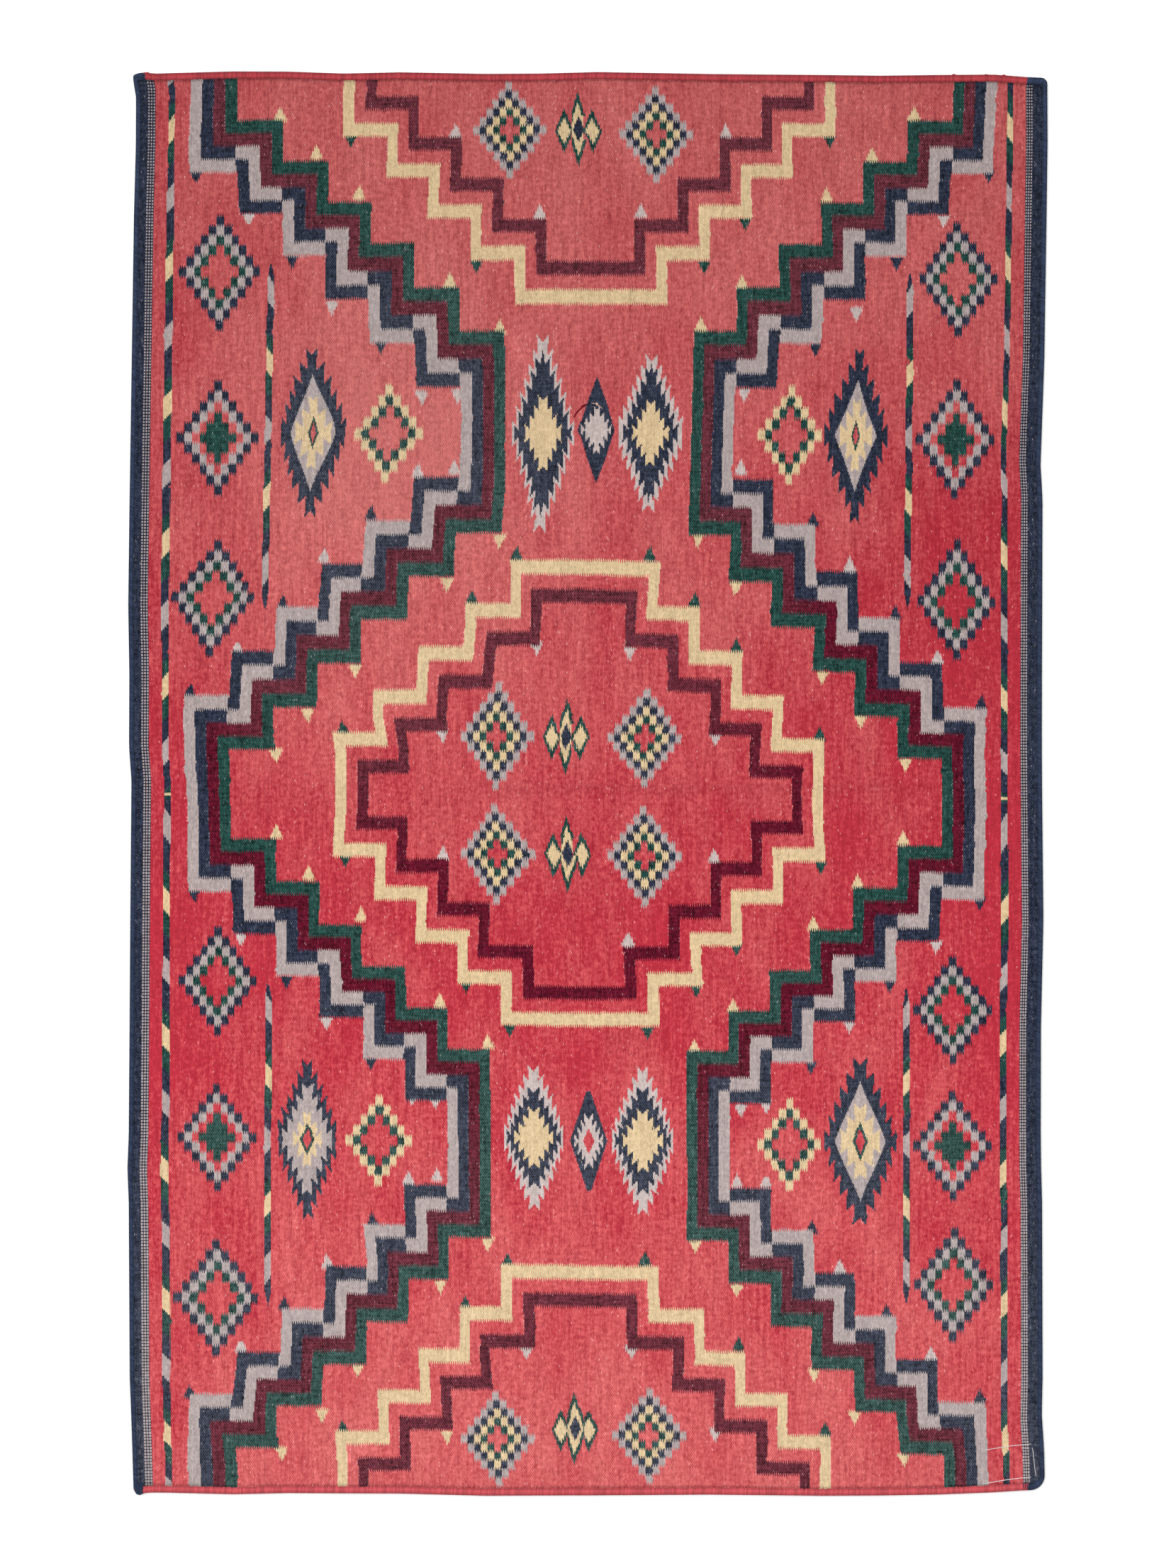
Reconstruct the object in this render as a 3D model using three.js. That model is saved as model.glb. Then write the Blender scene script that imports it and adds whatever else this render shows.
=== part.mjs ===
// A flat-woven wool rug, 4 by 6 ft, lying flat: one patterned web, whipped with red yarn
// over its two ends and with navy yarn down its two sides and round its four corners.
//
// Units are millimetres. +X runs across the rug, +Y along it towards its top end and +Z up.
// The origin is on the ground under the middle of the rug.
//
// Every piece is first laid out on a true rectangle, the straight rug. The last step moves each
// point sideways and upwards to where the hand-woven cloth really lies, so that neighbours
// keep their clearance.

import * as THREE from 'three';

// ---- Driving dimensions --------------------------------------------------------------------

const RUG_WIDTH = 1200;
const RUG_LENGTH = 1860;
const WEB_THICKNESS = 2.6;
const WHIPPING_THICKNESS = 1.0;
const CLEARANCE = 0.3;
const SIDE_WHIPPING_DEPTH = 4.2;
const END_WHIPPING_DEPTH = 8.0;

// The web climbs onto the whipping under its edge within this strip.
const RAMP_START = 20;
const RAMP_END = 8.6;

// Distances from the outer edge at which the meshes have a line, in towards the middle. The
// web ends at the first of them.
const EDGE_LINES = [1.3, 2.5, 4.6, 8.6, 13, 20, 30, 44];
const CORNER_STEPS = 6;
const SHARPEST_BEND = 0.6;

// Rounding of each outer corner, and how far the navy side whipping runs on along the end.
const CORNERS = {
  topLeft: { radius: 4.6, wrap: 14 },
  topRight: { radius: 8.6, wrap: 26 },
  bottomLeft: { radius: 4.6, wrap: 13 },
  bottomRight: { radius: 20, wrap: 22 },
};

// How far each side falls inside the straight rug, going down the rug.
const SIDE_INSETS = [
  { y: 930, left: 6.8, right: -0.2 },
  { y: 905, left: 10.6, right: -0.3 },
  { y: 840, left: 10.3, right: -0.5 },
  { y: 745, left: 7.8, right: 0.9 },
  { y: 560, left: 5.0, right: 3.7 },
  { y: 420, left: 2.9, right: 8.7 },
  { y: 375, left: 2.2, right: 6.1 },
  { y: 235, left: 0.4, right: 6.5 },
  { y: 145, left: 1.9, right: 6.9 },
  { y: 50, left: 1.5, right: 7.0 },
  { y: 5, left: 4.6, right: 6.8 },
  { y: -180, left: 3.1, right: 5.0 },
  { y: -320, left: 2.2, right: 8.2 },
  { y: -460, left: 1.1, right: 8.5 },
  { y: -505, left: -0.6, right: 8.0 },
  { y: -550, left: 1.1, right: 6.7 },
  { y: -780, left: 2.4, right: 6.0 },
  { y: -830, left: 4.3, right: 7.1 },
  { y: -875, left: 5.8, right: 4.2 },
  { y: -930, left: 7.4, right: 2.8 },
];

// How far each end falls inside the straight rug, going from left to right.
const END_INSETS = [
  { x: -600, top: 8.4, bottom: 6.0 },
  { x: -592, top: 4.0, bottom: 1.1 },
  { x: -584, top: 1.8, bottom: 4.6 },
  { x: -573, top: 3.5, bottom: 4.7 },
  { x: -552, top: 2.7, bottom: 4.5 },
  { x: -470, top: 0.4, bottom: 2.5 },
  { x: -397, top: 0.6, bottom: 4.0 },
  { x: -323, top: 3.2, bottom: 3.6 },
  { x: -249, top: 1.5, bottom: 3.4 },
  { x: -138, top: 3.6, bottom: 0.5 },
  { x: -64, top: 3.2, bottom: 0.8 },
  { x: 10, top: 1.2, bottom: 1.0 },
  { x: 158, top: 3.8, bottom: 2.0 },
  { x: 307, top: 5.1, bottom: 0.4 },
  { x: 381, top: 6.0, bottom: 0.8 },
  { x: 455, top: 5.1, bottom: 2.0 },
  { x: 529, top: 4.5, bottom: 4.8 },
  { x: 573, top: 7.8, bottom: 7.6 },
  { x: 600, top: 8.8, bottom: 7.8 },
];

// The old fold across the middle still stands a little off the ground, and the top left
// corner curls up.
const FOLD = { y: -6, halfWidth: 34, height: 1.6, left: -260, right: 500, fade: 90 };
const CURL = { reach: 44, height: 4 };

// ---- How the cloth lies --------------------------------------------------------------------

const HALF_WIDTH = RUG_WIDTH / 2;
const HALF_LENGTH = RUG_LENGTH / 2;

/** One column of a table as a function of its key column, straight between the rows. */
function columnOf(rows, key, column) {
  const sorted = [...rows].sort((a, b) => a[key] - b[key]);
  return (at) => {
    const above = sorted.findIndex((row) => row[key] >= at);
    const i = above < 0 ? sorted.length - 2 : Math.max(0, above - 1);
    const t = (at - sorted[i][key]) / (sorted[i + 1][key] - sorted[i][key]);
    return THREE.MathUtils.lerp(sorted[i][column], sorted[i + 1][column], t);
  };
}

const insetLeft = columnOf(SIDE_INSETS, 'y', 'left');
const insetRight = columnOf(SIDE_INSETS, 'y', 'right');
const insetTop = columnOf(END_INSETS, 'x', 'top');
const insetBottom = columnOf(END_INSETS, 'x', 'bottom');

/** Height of the cloth's underside off the ground, away from its edges. */
function liftAt(x, y) {
  const acrossFold = Math.max(0, 1 - Math.abs(y - FOLD.y) / FOLD.halfWidth);
  const alongFold = THREE.MathUtils.smoothstep(x, FOLD.left, FOLD.left + FOLD.fade)
    * (1 - THREE.MathUtils.smoothstep(x, FOLD.right - FOLD.fade, FOLD.right));
  const fromCorner = Math.hypot(x + HALF_WIDTH, y - HALF_LENGTH);
  const curl = Math.max(0, 1 - fromCorner / CURL.reach);
  return FOLD.height * acrossFold * alongFold + CURL.height * curl * curl;
}

/** Moves a point of the straight rug to its place in the uneven one. */
function lay(x, y, z) {
  const across = (x + HALF_WIDTH) / RUG_WIDTH;
  const along = (y + HALF_LENGTH) / RUG_LENGTH;
  const moveX = THREE.MathUtils.lerp(insetLeft(y), -insetRight(y), across);
  const moveY = THREE.MathUtils.lerp(insetBottom(x), -insetTop(x), along);
  return [x + moveX, y + moveY, z + liftAt(x, y)];
}

// ---- Meshes --------------------------------------------------------------------------------

/** A closed mesh from a list of laid points and a list of triangles. */
function solid(name, points, triangles, material) {
  const geometry = new THREE.BufferGeometry();
  geometry.setAttribute('position', new THREE.Float32BufferAttribute(points.flat(), 3));
  geometry.setIndex(triangles.flat());
  geometry.computeVertexNormals();
  const mesh = new THREE.Mesh(geometry, material);
  mesh.name = name;
  return mesh;
}

/** The corner of the straight rug that a point is nearest to, and its signs in X and Y. */
function cornerNear(x, y) {
  const row = y > 0 ? 'top' : 'bottom';
  const column = x > 0 ? 'Right' : 'Left';
  return { ...CORNERS[row + column], sideX: Math.sign(x), sideY: Math.sign(y) };
}

/** Distance from a point to the outer edge of the straight rug with its rounded corners. */
function distanceToEdge(x, y) {
  const { radius } = cornerNear(x, y);
  const fromSide = HALF_WIDTH - Math.abs(x);
  const fromEnd = HALF_LENGTH - Math.abs(y);
  if (fromSide >= radius || fromEnd >= radius) return Math.min(fromSide, fromEnd);
  return radius - Math.hypot(radius - fromSide, radius - fromEnd);
}

/** Pulls a point of the square-cornered grid into the web's rounded corner. */
function roundCorner(x, y) {
  const { radius, sideX, sideY } = cornerNear(x, y);
  const webRadius = radius - EDGE_LINES[0];
  const centreX = sideX * (HALF_WIDTH - radius);
  const centreY = sideY * (HALF_LENGTH - radius);
  const a = sideX * (x - centreX) / webRadius;
  const b = sideY * (y - centreY) / webRadius;
  if (a <= 0 || b <= 0) return [x, y];
  const roundA = a * Math.sqrt(1 - b * b / 2);
  const roundB = b * Math.sqrt(1 - a * a / 2);
  return [centreX + sideX * roundA * webRadius, centreY + sideY * roundB * webRadius];
}

/** Mesh lines in one direction: close at both edges, and one at each row of its table. */
function meshLines(half, stops) {
  const nearest = half - EDGE_LINES[0];
  const inside = stops.filter((stop) => Math.abs(stop) < nearest - 1);
  const tooClose = (edge) => inside.some((stop) => Math.abs(stop - edge) < 1);
  const edges = EDGE_LINES.flatMap((line) => [line - half, half - line]);
  const apart = edges.filter((edge) => Math.abs(edge) === nearest || !tooClose(edge));
  return [...apart, ...inside].sort((a, b) => a - b);
}

const FOLD_LINES = [FOLD.y - FOLD.halfWidth, FOLD.y, FOLD.y + FOLD.halfWidth];
const LINES_ACROSS = meshLines(HALF_WIDTH, END_INSETS.map((row) => row.x));
const LINES_ALONG = meshLines(HALF_LENGTH, [...SIDE_INSETS.map((row) => row.y), ...FOLD_LINES]);

/** The woven web: a thin sheet with a flat underside that climbs onto the edge whipping. */
function makeWeb(material) {
  const columns = LINES_ACROSS.length;
  const rows = LINES_ALONG.length;
  const underside = [];
  for (const y of LINES_ALONG) {
    for (const x of LINES_ACROSS) {
      const [roundX, roundY] = roundCorner(x, y);
      const away = distanceToEdge(roundX, roundY);
      const climb = 1 - THREE.MathUtils.clamp((away - RAMP_END) / (RAMP_START - RAMP_END), 0, 1);
      underside.push([roundX, roundY, climb * (WHIPPING_THICKNESS + CLEARANCE)]);
    }
  }
  const points = [
    ...underside.map(([x, y, z]) => lay(x, y, z)),
    ...underside.map(([x, y, z]) => lay(x, y, z + WEB_THICKNESS)),
  ];
  const top = underside.length;
  const triangles = [];
  for (let j = 0; j < rows - 1; j += 1) {
    for (let i = 0; i < columns - 1; i += 1) {
      const a = j * columns + i;
      const [b, c, d] = [a + 1, a + 1 + columns, a + columns];
      triangles.push([a, c, b], [a, d, c], [top + a, top + b, top + c], [top + a, top + c, top + d]);
    }
  }
  const rim = [];
  for (let i = 0; i < columns - 1; i += 1) rim.push(i);
  for (let j = 0; j < rows - 1; j += 1) rim.push(j * columns + columns - 1);
  for (let i = columns - 1; i > 0; i -= 1) rim.push((rows - 1) * columns + i);
  for (let j = rows - 1; j > 0; j -= 1) rim.push(j * columns);
  rim.forEach((a, k) => {
    const b = rim[(k + 1) % rim.length];
    triangles.push([a, b, top + b], [a, top + b, top + a]);
  });
  return solid('web', points, triangles, material);
}

/**
 * The whipping's section, as a channel that holds the web's edge: distances in from the outer
 * face on the rug's side and on its end, and heights.
 */
function channelSection() {
  const slotLow = WHIPPING_THICKNESS;
  const slotHigh = WHIPPING_THICKNESS + 2 * CLEARANCE + WEB_THICKNESS;
  const crown = slotHigh + WHIPPING_THICKNESS;
  const slotBack = EDGE_LINES[0] - CLEARANCE;
  const nearFace = [[0, 1.4], [1.1, 0]];
  const farFace = [[1.1, crown - 0.1], [0, crown - 1.4]];
  const tip = (back, z) => ({
    fromSide: SIDE_WHIPPING_DEPTH - back,
    fromEnd: END_WHIPPING_DEPTH - back,
    z,
  });
  const face = ([inward, z]) => ({ fromSide: inward, fromEnd: inward, z });
  return [
    ...nearFace.map(face),
    tip(0, 0),
    tip(0, slotLow),
    face([slotBack, slotLow]),
    face([slotBack, slotHigh]),
    tip(0, slotHigh),
    tip(0, crown - 0.5),
    tip(0.7, crown),
    ...farFace.map(face),
  ];
}

/** Joins the sections at each station of a path into one closed solid with capped ends. */
function sweep(name, stations, material) {
  const count = stations[0].length;
  const last = (stations.length - 1) * count;
  const triangles = [];
  for (let first = 0; first < last; first += count) {
    for (let i = 0; i < count; i += 1) {
      const a = first + i;
      const b = first + (i + 1) % count;
      triangles.push([a, b, b + count], [a, b + count, a + count]);
    }
  }
  const outline = channelSection().map(({ fromEnd, z }) => new THREE.Vector2(fromEnd, z));
  for (const [a, b, c] of THREE.ShapeUtils.triangulateShape(outline, [])) {
    triangles.push([a, c, b], [last + a, last + b, last + c]);
  }
  return solid(name, stations.flat(), triangles, material);
}

/** The whipping's section across one end at x. sideY is 1 at the top end, -1 at the bottom. */
function sectionOnEnd(x, sideY) {
  return channelSection().map(({ fromEnd, z }) => lay(x, sideY * (HALF_LENGTH - fromEnd), z));
}

/** The whipping's section across one side at y. sideX is 1 on the right, -1 on the left. */
function sectionOnSide(y, sideX) {
  return channelSection().map(({ fromSide, z }) => lay(sideX * (HALF_WIDTH - fromSide), y, z));
}

/** The whipping's section part of the way round a corner: turn goes from 0, at the end, to 90 degrees. */
function sectionOnCorner(radius, turn, sideX, sideY) {
  return channelSection().map(({ fromSide, fromEnd, z }) => {
    const inner = Math.max(radius - Math.max(fromSide, fromEnd), SHARPEST_BEND);
    const x = fromSide + inner * (1 - Math.sin(turn));
    const y = fromEnd + inner * (1 - Math.cos(turn));
    return lay(sideX * (HALF_WIDTH - x), sideY * (HALF_LENGTH - y), z);
  });
}

/** Red whipping over one end, between the navy corners. */
function makeEndWhipping(name, sideY, material) {
  const row = sideY > 0 ? 'top' : 'bottom';
  const left = -HALF_WIDTH + CORNERS[`${row}Left`].wrap + CLEARANCE;
  const right = HALF_WIDTH - CORNERS[`${row}Right`].wrap - CLEARANCE;
  const between = LINES_ACROSS.filter((x) => x > left && x < right);
  const stations = [left, ...between, right].map((x) => sectionOnEnd(x, sideY));
  if (sideY > 0) stations.reverse();
  return sweep(name, stations, material);
}

/** Navy whipping down one side and round both its corners. */
function makeSideWhipping(name, sideX, material) {
  const column = sideX > 0 ? 'Right' : 'Left';

  // From the end of the wrap, along the end and round the corner to the side.
  const cornerStations = (sideY) => {
    const { radius, wrap } = CORNERS[(sideY > 0 ? 'top' : 'bottom') + column];
    const fromSide = LINES_ACROSS.map((x) => HALF_WIDTH - sideX * x).sort((a, b) => b - a);
    const aways = [wrap, ...fromSide.filter((away) => away > radius && away < wrap)];
    const stations = aways.map((away) => sectionOnEnd(sideX * (HALF_WIDTH - away), sideY));
    for (let s = 0; s <= CORNER_STEPS; s += 1) {
      stations.push(sectionOnCorner(radius, (s / CORNER_STEPS) * Math.PI / 2, sideX, sideY));
    }
    return stations;
  };

  const clearOf = (row) => HALF_LENGTH - Math.max(CORNERS[row + column].radius, END_WHIPPING_DEPTH + 1);
  const between = LINES_ALONG.filter((y) => y < clearOf('top') && y > -clearOf('bottom')).reverse();
  const stations = [
    ...cornerStations(1),
    ...between.map((y) => sectionOnSide(y, sideX)),
    ...cornerStations(-1).reverse(),
  ];
  if (sideX > 0) stations.reverse();
  return sweep(name, stations, material);
}

// ---- The rug -------------------------------------------------------------------------------

const wool = (color) => new THREE.MeshStandardMaterial({ color, roughness: 0.95, metalness: 0 });
const patternedWool = wool(0xb85258);
const redYarn = wool(0xb44a52);
const navyYarn = wool(0x2d3749);

const rug = new THREE.Group();
rug.name = 'rug';
rug.add(
  makeWeb(patternedWool),
  makeEndWhipping('end_whipping_top', 1, redYarn),
  makeEndWhipping('end_whipping_bottom', -1, redYarn),
  makeSideWhipping('side_whipping_left', -1, navyYarn),
  makeSideWhipping('side_whipping_right', 1, navyYarn),
);

export default rug;
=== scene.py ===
"""A flat-woven wool rug, 4 by 6 ft, as a Blender add-on: the patterned web, the yarn whipped
over its four edges, and the small loose threads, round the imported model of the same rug.

Sizes are in millimetres until a mesh is made. +X runs across the rug, +Y along it towards its
top end and +Z up. The wefts, which carry the colours, run along Y, and the warps run across X.
"""

import math

import bpy
import numpy as np
from bpy.props import FloatProperty, FloatVectorProperty, IntProperty, PointerProperty
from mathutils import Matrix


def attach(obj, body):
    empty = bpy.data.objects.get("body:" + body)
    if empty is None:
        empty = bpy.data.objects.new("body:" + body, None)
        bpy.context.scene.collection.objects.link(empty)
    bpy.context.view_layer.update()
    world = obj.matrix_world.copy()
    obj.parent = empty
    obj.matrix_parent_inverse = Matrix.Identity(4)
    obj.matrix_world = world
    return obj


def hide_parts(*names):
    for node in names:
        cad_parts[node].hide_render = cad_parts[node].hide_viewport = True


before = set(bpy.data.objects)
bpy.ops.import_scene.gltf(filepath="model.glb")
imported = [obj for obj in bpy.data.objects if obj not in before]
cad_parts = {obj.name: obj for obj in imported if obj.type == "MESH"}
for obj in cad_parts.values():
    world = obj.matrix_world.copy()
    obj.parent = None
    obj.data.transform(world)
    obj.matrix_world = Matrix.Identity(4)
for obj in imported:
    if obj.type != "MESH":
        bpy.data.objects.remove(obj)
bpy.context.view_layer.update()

bl_info = {
    "name": "Flat-Woven Wool Rug",
    "version": (1, 0, 0),
    "blender": (4, 5, 0),
    "location": "3D View > Sidebar > Rug",
    "description": "Weaves a patterned wool rug, whips its edges and sets a plain studio round it",
    "category": "Object",
}

MM = 0.001
# The studio, in metres: the length of ground that the camera sees, where the camera stands, how
# far the floor reaches, and the window's size and place. The sensor is in millimetres. The light
# brightens the cloth by LIGHT_ON_CLOTH, which the yarns' colours are divided by.
VIEW_HEIGHT, CAMERA_X, CAMERA_Y = 2.048, 0.0006, -0.0005
SENSOR_WIDTH = 36.0
FLOOR_REACH = 4.0
WINDOW_SIZE, WINDOW_PLACE = (6.0, 4.5), (-2.4, 2.6, 7.0)
LIGHT_ON_CLOTH = 1.13

# ---- The outline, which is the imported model's ------------------------------------------------

RUG_WIDTH, RUG_LENGTH = 1200.0, 1860.0
HALF_WIDTH, HALF_LENGTH = RUG_WIDTH / 2, RUG_LENGTH / 2
WEB_THICKNESS = 2.6
WHIPPING_THICKNESS = 1.0
CLEARANCE = 0.3
CROWN = 2 * WHIPPING_THICKNESS + 2 * CLEARANCE + WEB_THICKNESS
# From the rug's outer edge: the web's own edge, and the inner edges of the whippings.
WEB_INSET = 1.3
SIDE_REACH, END_REACH = 6.8, 9.6
# Where the web starts and ends its climb into the whippings, and where its ripples are full.
RAMP_START, RAMP_END = 20.0, 8.6
FULL_RIPPLES = 60.0
# Where loose yarns lie on a whipping's falling outside, and where they lie on the web.
FALL, FLAT_FROM = (-4, 2), 8

# Radius of each outer corner, and how far the navy yarn runs on along the end.
CORNERS = {
    (-1, 1): (4.6, 14.0),
    (1, 1): (8.6, 26.0),
    (-1, -1): (4.6, 13.0),
    (1, -1): (20.0, 22.0),
}

# y, then how far the left and the right side fall inside the straight rug there.
SIDE_INSETS = np.array([
    (-930, 7.4, 2.8), (-875, 5.8, 4.2), (-830, 4.3, 7.1), (-780, 2.4, 6.0), (-550, 1.1, 6.7),
    (-505, -0.6, 8.0), (-460, 1.1, 8.5), (-320, 2.2, 8.2), (-180, 3.1, 5.0), (5, 4.6, 6.8),
    (50, 1.5, 7.0), (145, 1.9, 6.9), (235, 0.4, 6.5), (375, 2.2, 6.1), (420, 2.9, 8.7),
    (560, 5.0, 3.7), (745, 7.8, 0.9), (840, 10.3, -0.5), (905, 10.6, -0.3), (930, 6.8, -0.2),
])

# x, then how far the top and the bottom end fall inside the straight rug there.
END_INSETS = np.array([
    (-600, 8.4, 6.0), (-592, 4.0, 1.1), (-584, 1.8, 4.6), (-573, 3.5, 4.7), (-552, 2.7, 4.5),
    (-470, 0.4, 2.5), (-397, 0.6, 4.0), (-323, 3.2, 3.6), (-249, 1.5, 3.4), (-138, 3.6, 0.5),
    (-64, 3.2, 0.8), (10, 1.2, 1.0), (158, 3.8, 2.0), (307, 5.1, 0.4), (381, 6.0, 0.8),
    (455, 5.1, 2.0), (529, 4.5, 4.8), (573, 7.8, 7.6), (600, 8.8, 7.8),
])

FOLD_Y, FOLD_HALF_WIDTH, FOLD_HEIGHT = -6.0, 34.0, 1.6
FOLD_LEFT, FOLD_RIGHT, FOLD_FADE = -260.0, 500.0, 90.0
CURL_REACH, CURL_HEIGHT = 44.0, 4.0
RIPPLE_HEIGHT = 0.9


def smoothstep(value, low, high):
    """0 up to low, 1 from high, and a smooth rise between them."""
    t = np.clip((value - low) / (high - low), 0, 1)
    return t * t * (3 - 2 * t)


def column(table, at, number):
    """One column of a table at any place along its first column."""
    return np.interp(at, table[:, 0], table[:, number])


def lay(x, y):
    """Moves points of the straight rug to where the hand-woven cloth lies."""
    across = (x + HALF_WIDTH) / RUG_WIDTH
    along = (y + HALF_LENGTH) / RUG_LENGTH
    left, right = column(SIDE_INSETS, y, 1), column(SIDE_INSETS, y, 2)
    top, bottom = column(END_INSETS, x, 1), column(END_INSETS, x, 2)
    return x + left - across * (left + right), y + bottom - along * (bottom + top)


def lift(x, y):
    """Height of the cloth's underside off the ground: the old fold, and one curled corner."""
    over = np.maximum(0, 1 - np.abs(y - FOLD_Y) / FOLD_HALF_WIDTH)
    run = smoothstep(x, FOLD_LEFT, FOLD_LEFT + FOLD_FADE)
    run = run * (1 - smoothstep(x, FOLD_RIGHT - FOLD_FADE, FOLD_RIGHT))
    curl = np.maximum(0, 1 - np.hypot(x + HALF_WIDTH, y - HALF_LENGTH) / CURL_REACH)
    return FOLD_HEIGHT * over * run + CURL_HEIGHT * curl**2


def underside(x, y):
    """Height of the cloth's underside, which climbs inside the whippings."""
    away = distance_to_edge(x, y)
    climb = 1 - np.clip((away - RAMP_END) / (RAMP_START - RAMP_END), 0, 1)
    low = climb * (WHIPPING_THICKNESS + CLEARANCE) + lift(x, y)
    return low + ripple(x, y) * smoothstep(away, RAMP_START, FULL_RIPPLES)


def top_of_rug(real_x, real_y):
    """Height of the rug's upper face at points of the real cloth, whippings counted.

    A whipping falls away smoothly at its outside, and yarns may lie a little way down it.
    """
    moved_x, moved_y = lay(real_x, real_y)
    x, y = 2 * real_x - moved_x, 2 * real_y - moved_y
    away = distance_to_edge(x, y)
    whipped = (lift(x, y) + CROWN) * smoothstep(away, *FALL)
    return np.where(away < FLAT_FROM, whipped, underside(x, y) + WEB_THICKNESS)


def ripple(x, y):
    """Low waves that a rug keeps after it has been folded."""
    waves = np.sin(x / 61 + 1.7 * np.sin(y / 173)) + np.sin(y / 83 + 1.1 * np.sin(x / 127) + 2.0)
    waves = waves + 0.6 * np.sin((x + y) / 47 + np.sin(y / 59))
    return RIPPLE_HEIGHT * np.clip(waves / 5.2 + 0.5, 0, 1)


def corner_radius(x, y):
    """Radius of the outer corner that each point is nearest to."""
    radius = np.zeros(np.shape(x))
    for (side_x, side_y), (size, _) in CORNERS.items():
        radius = np.where((x * side_x > 0) & (y * side_y > 0), size, radius)
    return radius


def round_corners(x, y):
    """Pulls the square corners of the web's grid into its rounded ones."""
    radius = corner_radius(x, y)
    size = np.maximum(radius - WEB_INSET, 0.1)
    centre_x, centre_y = HALF_WIDTH - radius, HALF_LENGTH - radius
    a, b = (np.abs(x) - centre_x) / size, (np.abs(y) - centre_y) / size
    bent = (a > 0) & (b > 0)
    flat_x = centre_x + a * np.sqrt(np.clip(1 - b * b / 2, 0, 1)) * size
    flat_y = centre_y + b * np.sqrt(np.clip(1 - a * a / 2, 0, 1)) * size
    return np.where(bent, np.sign(x) * flat_x, x), np.where(bent, np.sign(y) * flat_y, y)


def distance_to_edge(x, y):
    """Distance from each point of the straight rug to its outer edge."""
    radius = corner_radius(x, y)
    side, end = HALF_WIDTH - np.abs(x), HALF_LENGTH - np.abs(y)
    round_one = radius - np.hypot(radius - side, radius - end)
    return np.where((side < radius) & (end < radius), round_one, np.minimum(side, end))


# ---- Where the woven pattern lies ------------------------------------------------------------

# The pattern is charted as the weaver meant it, in millimetres across and along from its middle.
# The real one wanders. Each row is a y, and how far to the right the charted lines at these
# distances across are found there. Nearer the sides the pattern keeps to the edges.
CHARTED_LINES = (-523.6, -464.4, -293.6, -122.7, 122.7, 293.6, 464.4, 523.6)
DRIFT = np.array([
    (-930, -0.5, 6.0, 5.5, 6.0, 7.0, 5.0, 3.5, 4.0),
    (-884, -1.5, 5.0, 5.0, 2.0, 6.0, 5.5, 3.5, 1.5),
    (-828, -0.5, -3.0, 2.5, 2.5, 6.5, 5.5, -6.0, 0.5),
    (-745, 6.5, 7.0, 2.5, -5.5, 11.0, 0.0, -7.0, -4.0),
    (-630, 7.0, 13.0, 6.0, -7.5, 7.0, 4.0, -6.0, -4.5),
    (-550, 2.0, 2.0, -2.5, -5.0, 9.5, 0.0, -2.0, -2.0),
    (-273, 1.5, -1.0, 1.0, -7.5, 8.5, 1.5, -5.0, -3.5),
    (-217, 2.0, 2.0, -4.0, -7.5, 4.5, -2.0, -5.5, -3.5),
    (-97, -2.0, -1.5, -1.0, -2.5, 2.5, -2.0, 0.5, -2.5),
    (-28, -1.5, -4.0, 5.0, -7.0, 0.5, -5.5, 0.0, 0.0),
    (42, -6.0, -5.5, 5.0, -5.0, -3.0, -3.5, -0.5, -2.5),
    (88, -7.5, -6.0, -4.5, -6.0, 2.5, -2.0, 1.0, 1.0),
    (218, -0.5, 2.5, -4.5, 7.0, 2.0, 6.5, -2.5, 0.0),
    (301, 6.5, 13.0, 0.0, 6.0, 10.0, 5.0, 0.0, 0.0),
    (394, 6.5, 7.0, 6.0, 14.0, 13.0, 3.5, 4.0, 4.0),
    (477, 7.0, 7.0, 15.0, 14.0, 15.5, 5.5, 6.0, 6.0),
    (616, 7.0, 7.0, 6.5, 12.0, 19.0, 15.0, 9.0, 9.0),
    (732, 7.0, 10.0, 8.5, 11.0, 15.5, 14.0, 6.5, 9.5),
    (820, -1.0, 5.0, 14.5, 14.5, 15.5, 10.0, 12.0, 9.0),
    (930, 3.5, 5.0, 16.5, 11.5, 14.5, 11.5, 16.5, 15.5),
])
# The lines of the side borders, measured from the straight rug's middle.
LEFT_BARBER, RIGHT_BARBER = -552.0, 549.4

# y, then how far up the charted rows are found there: at the left side, the middle and the right.
RISE = np.array([
    (-930, 1.0, 2.5, -12.0),
    (-760, 1.0, -6.0, -12.0),
    (-590, 9.0, -6.5, -8.0),
    (-350, -4.5, -12.0, -15.0),
    (-190, -9.0, -19.5, -22.5),
    (-75, -11.0, -16.0, -24.0),
    (90, -15.0, -16.0, -34.0),
    (250, -6.0, -13.0, -28.5),
    (325, -6.0, -10.0, -17.5),
    (590, -2.0, 2.0, -2.0),
    (705, 3.0, 6.0, 1.0),
    (930, -4.0, 0.5, -5.0),
])


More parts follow.
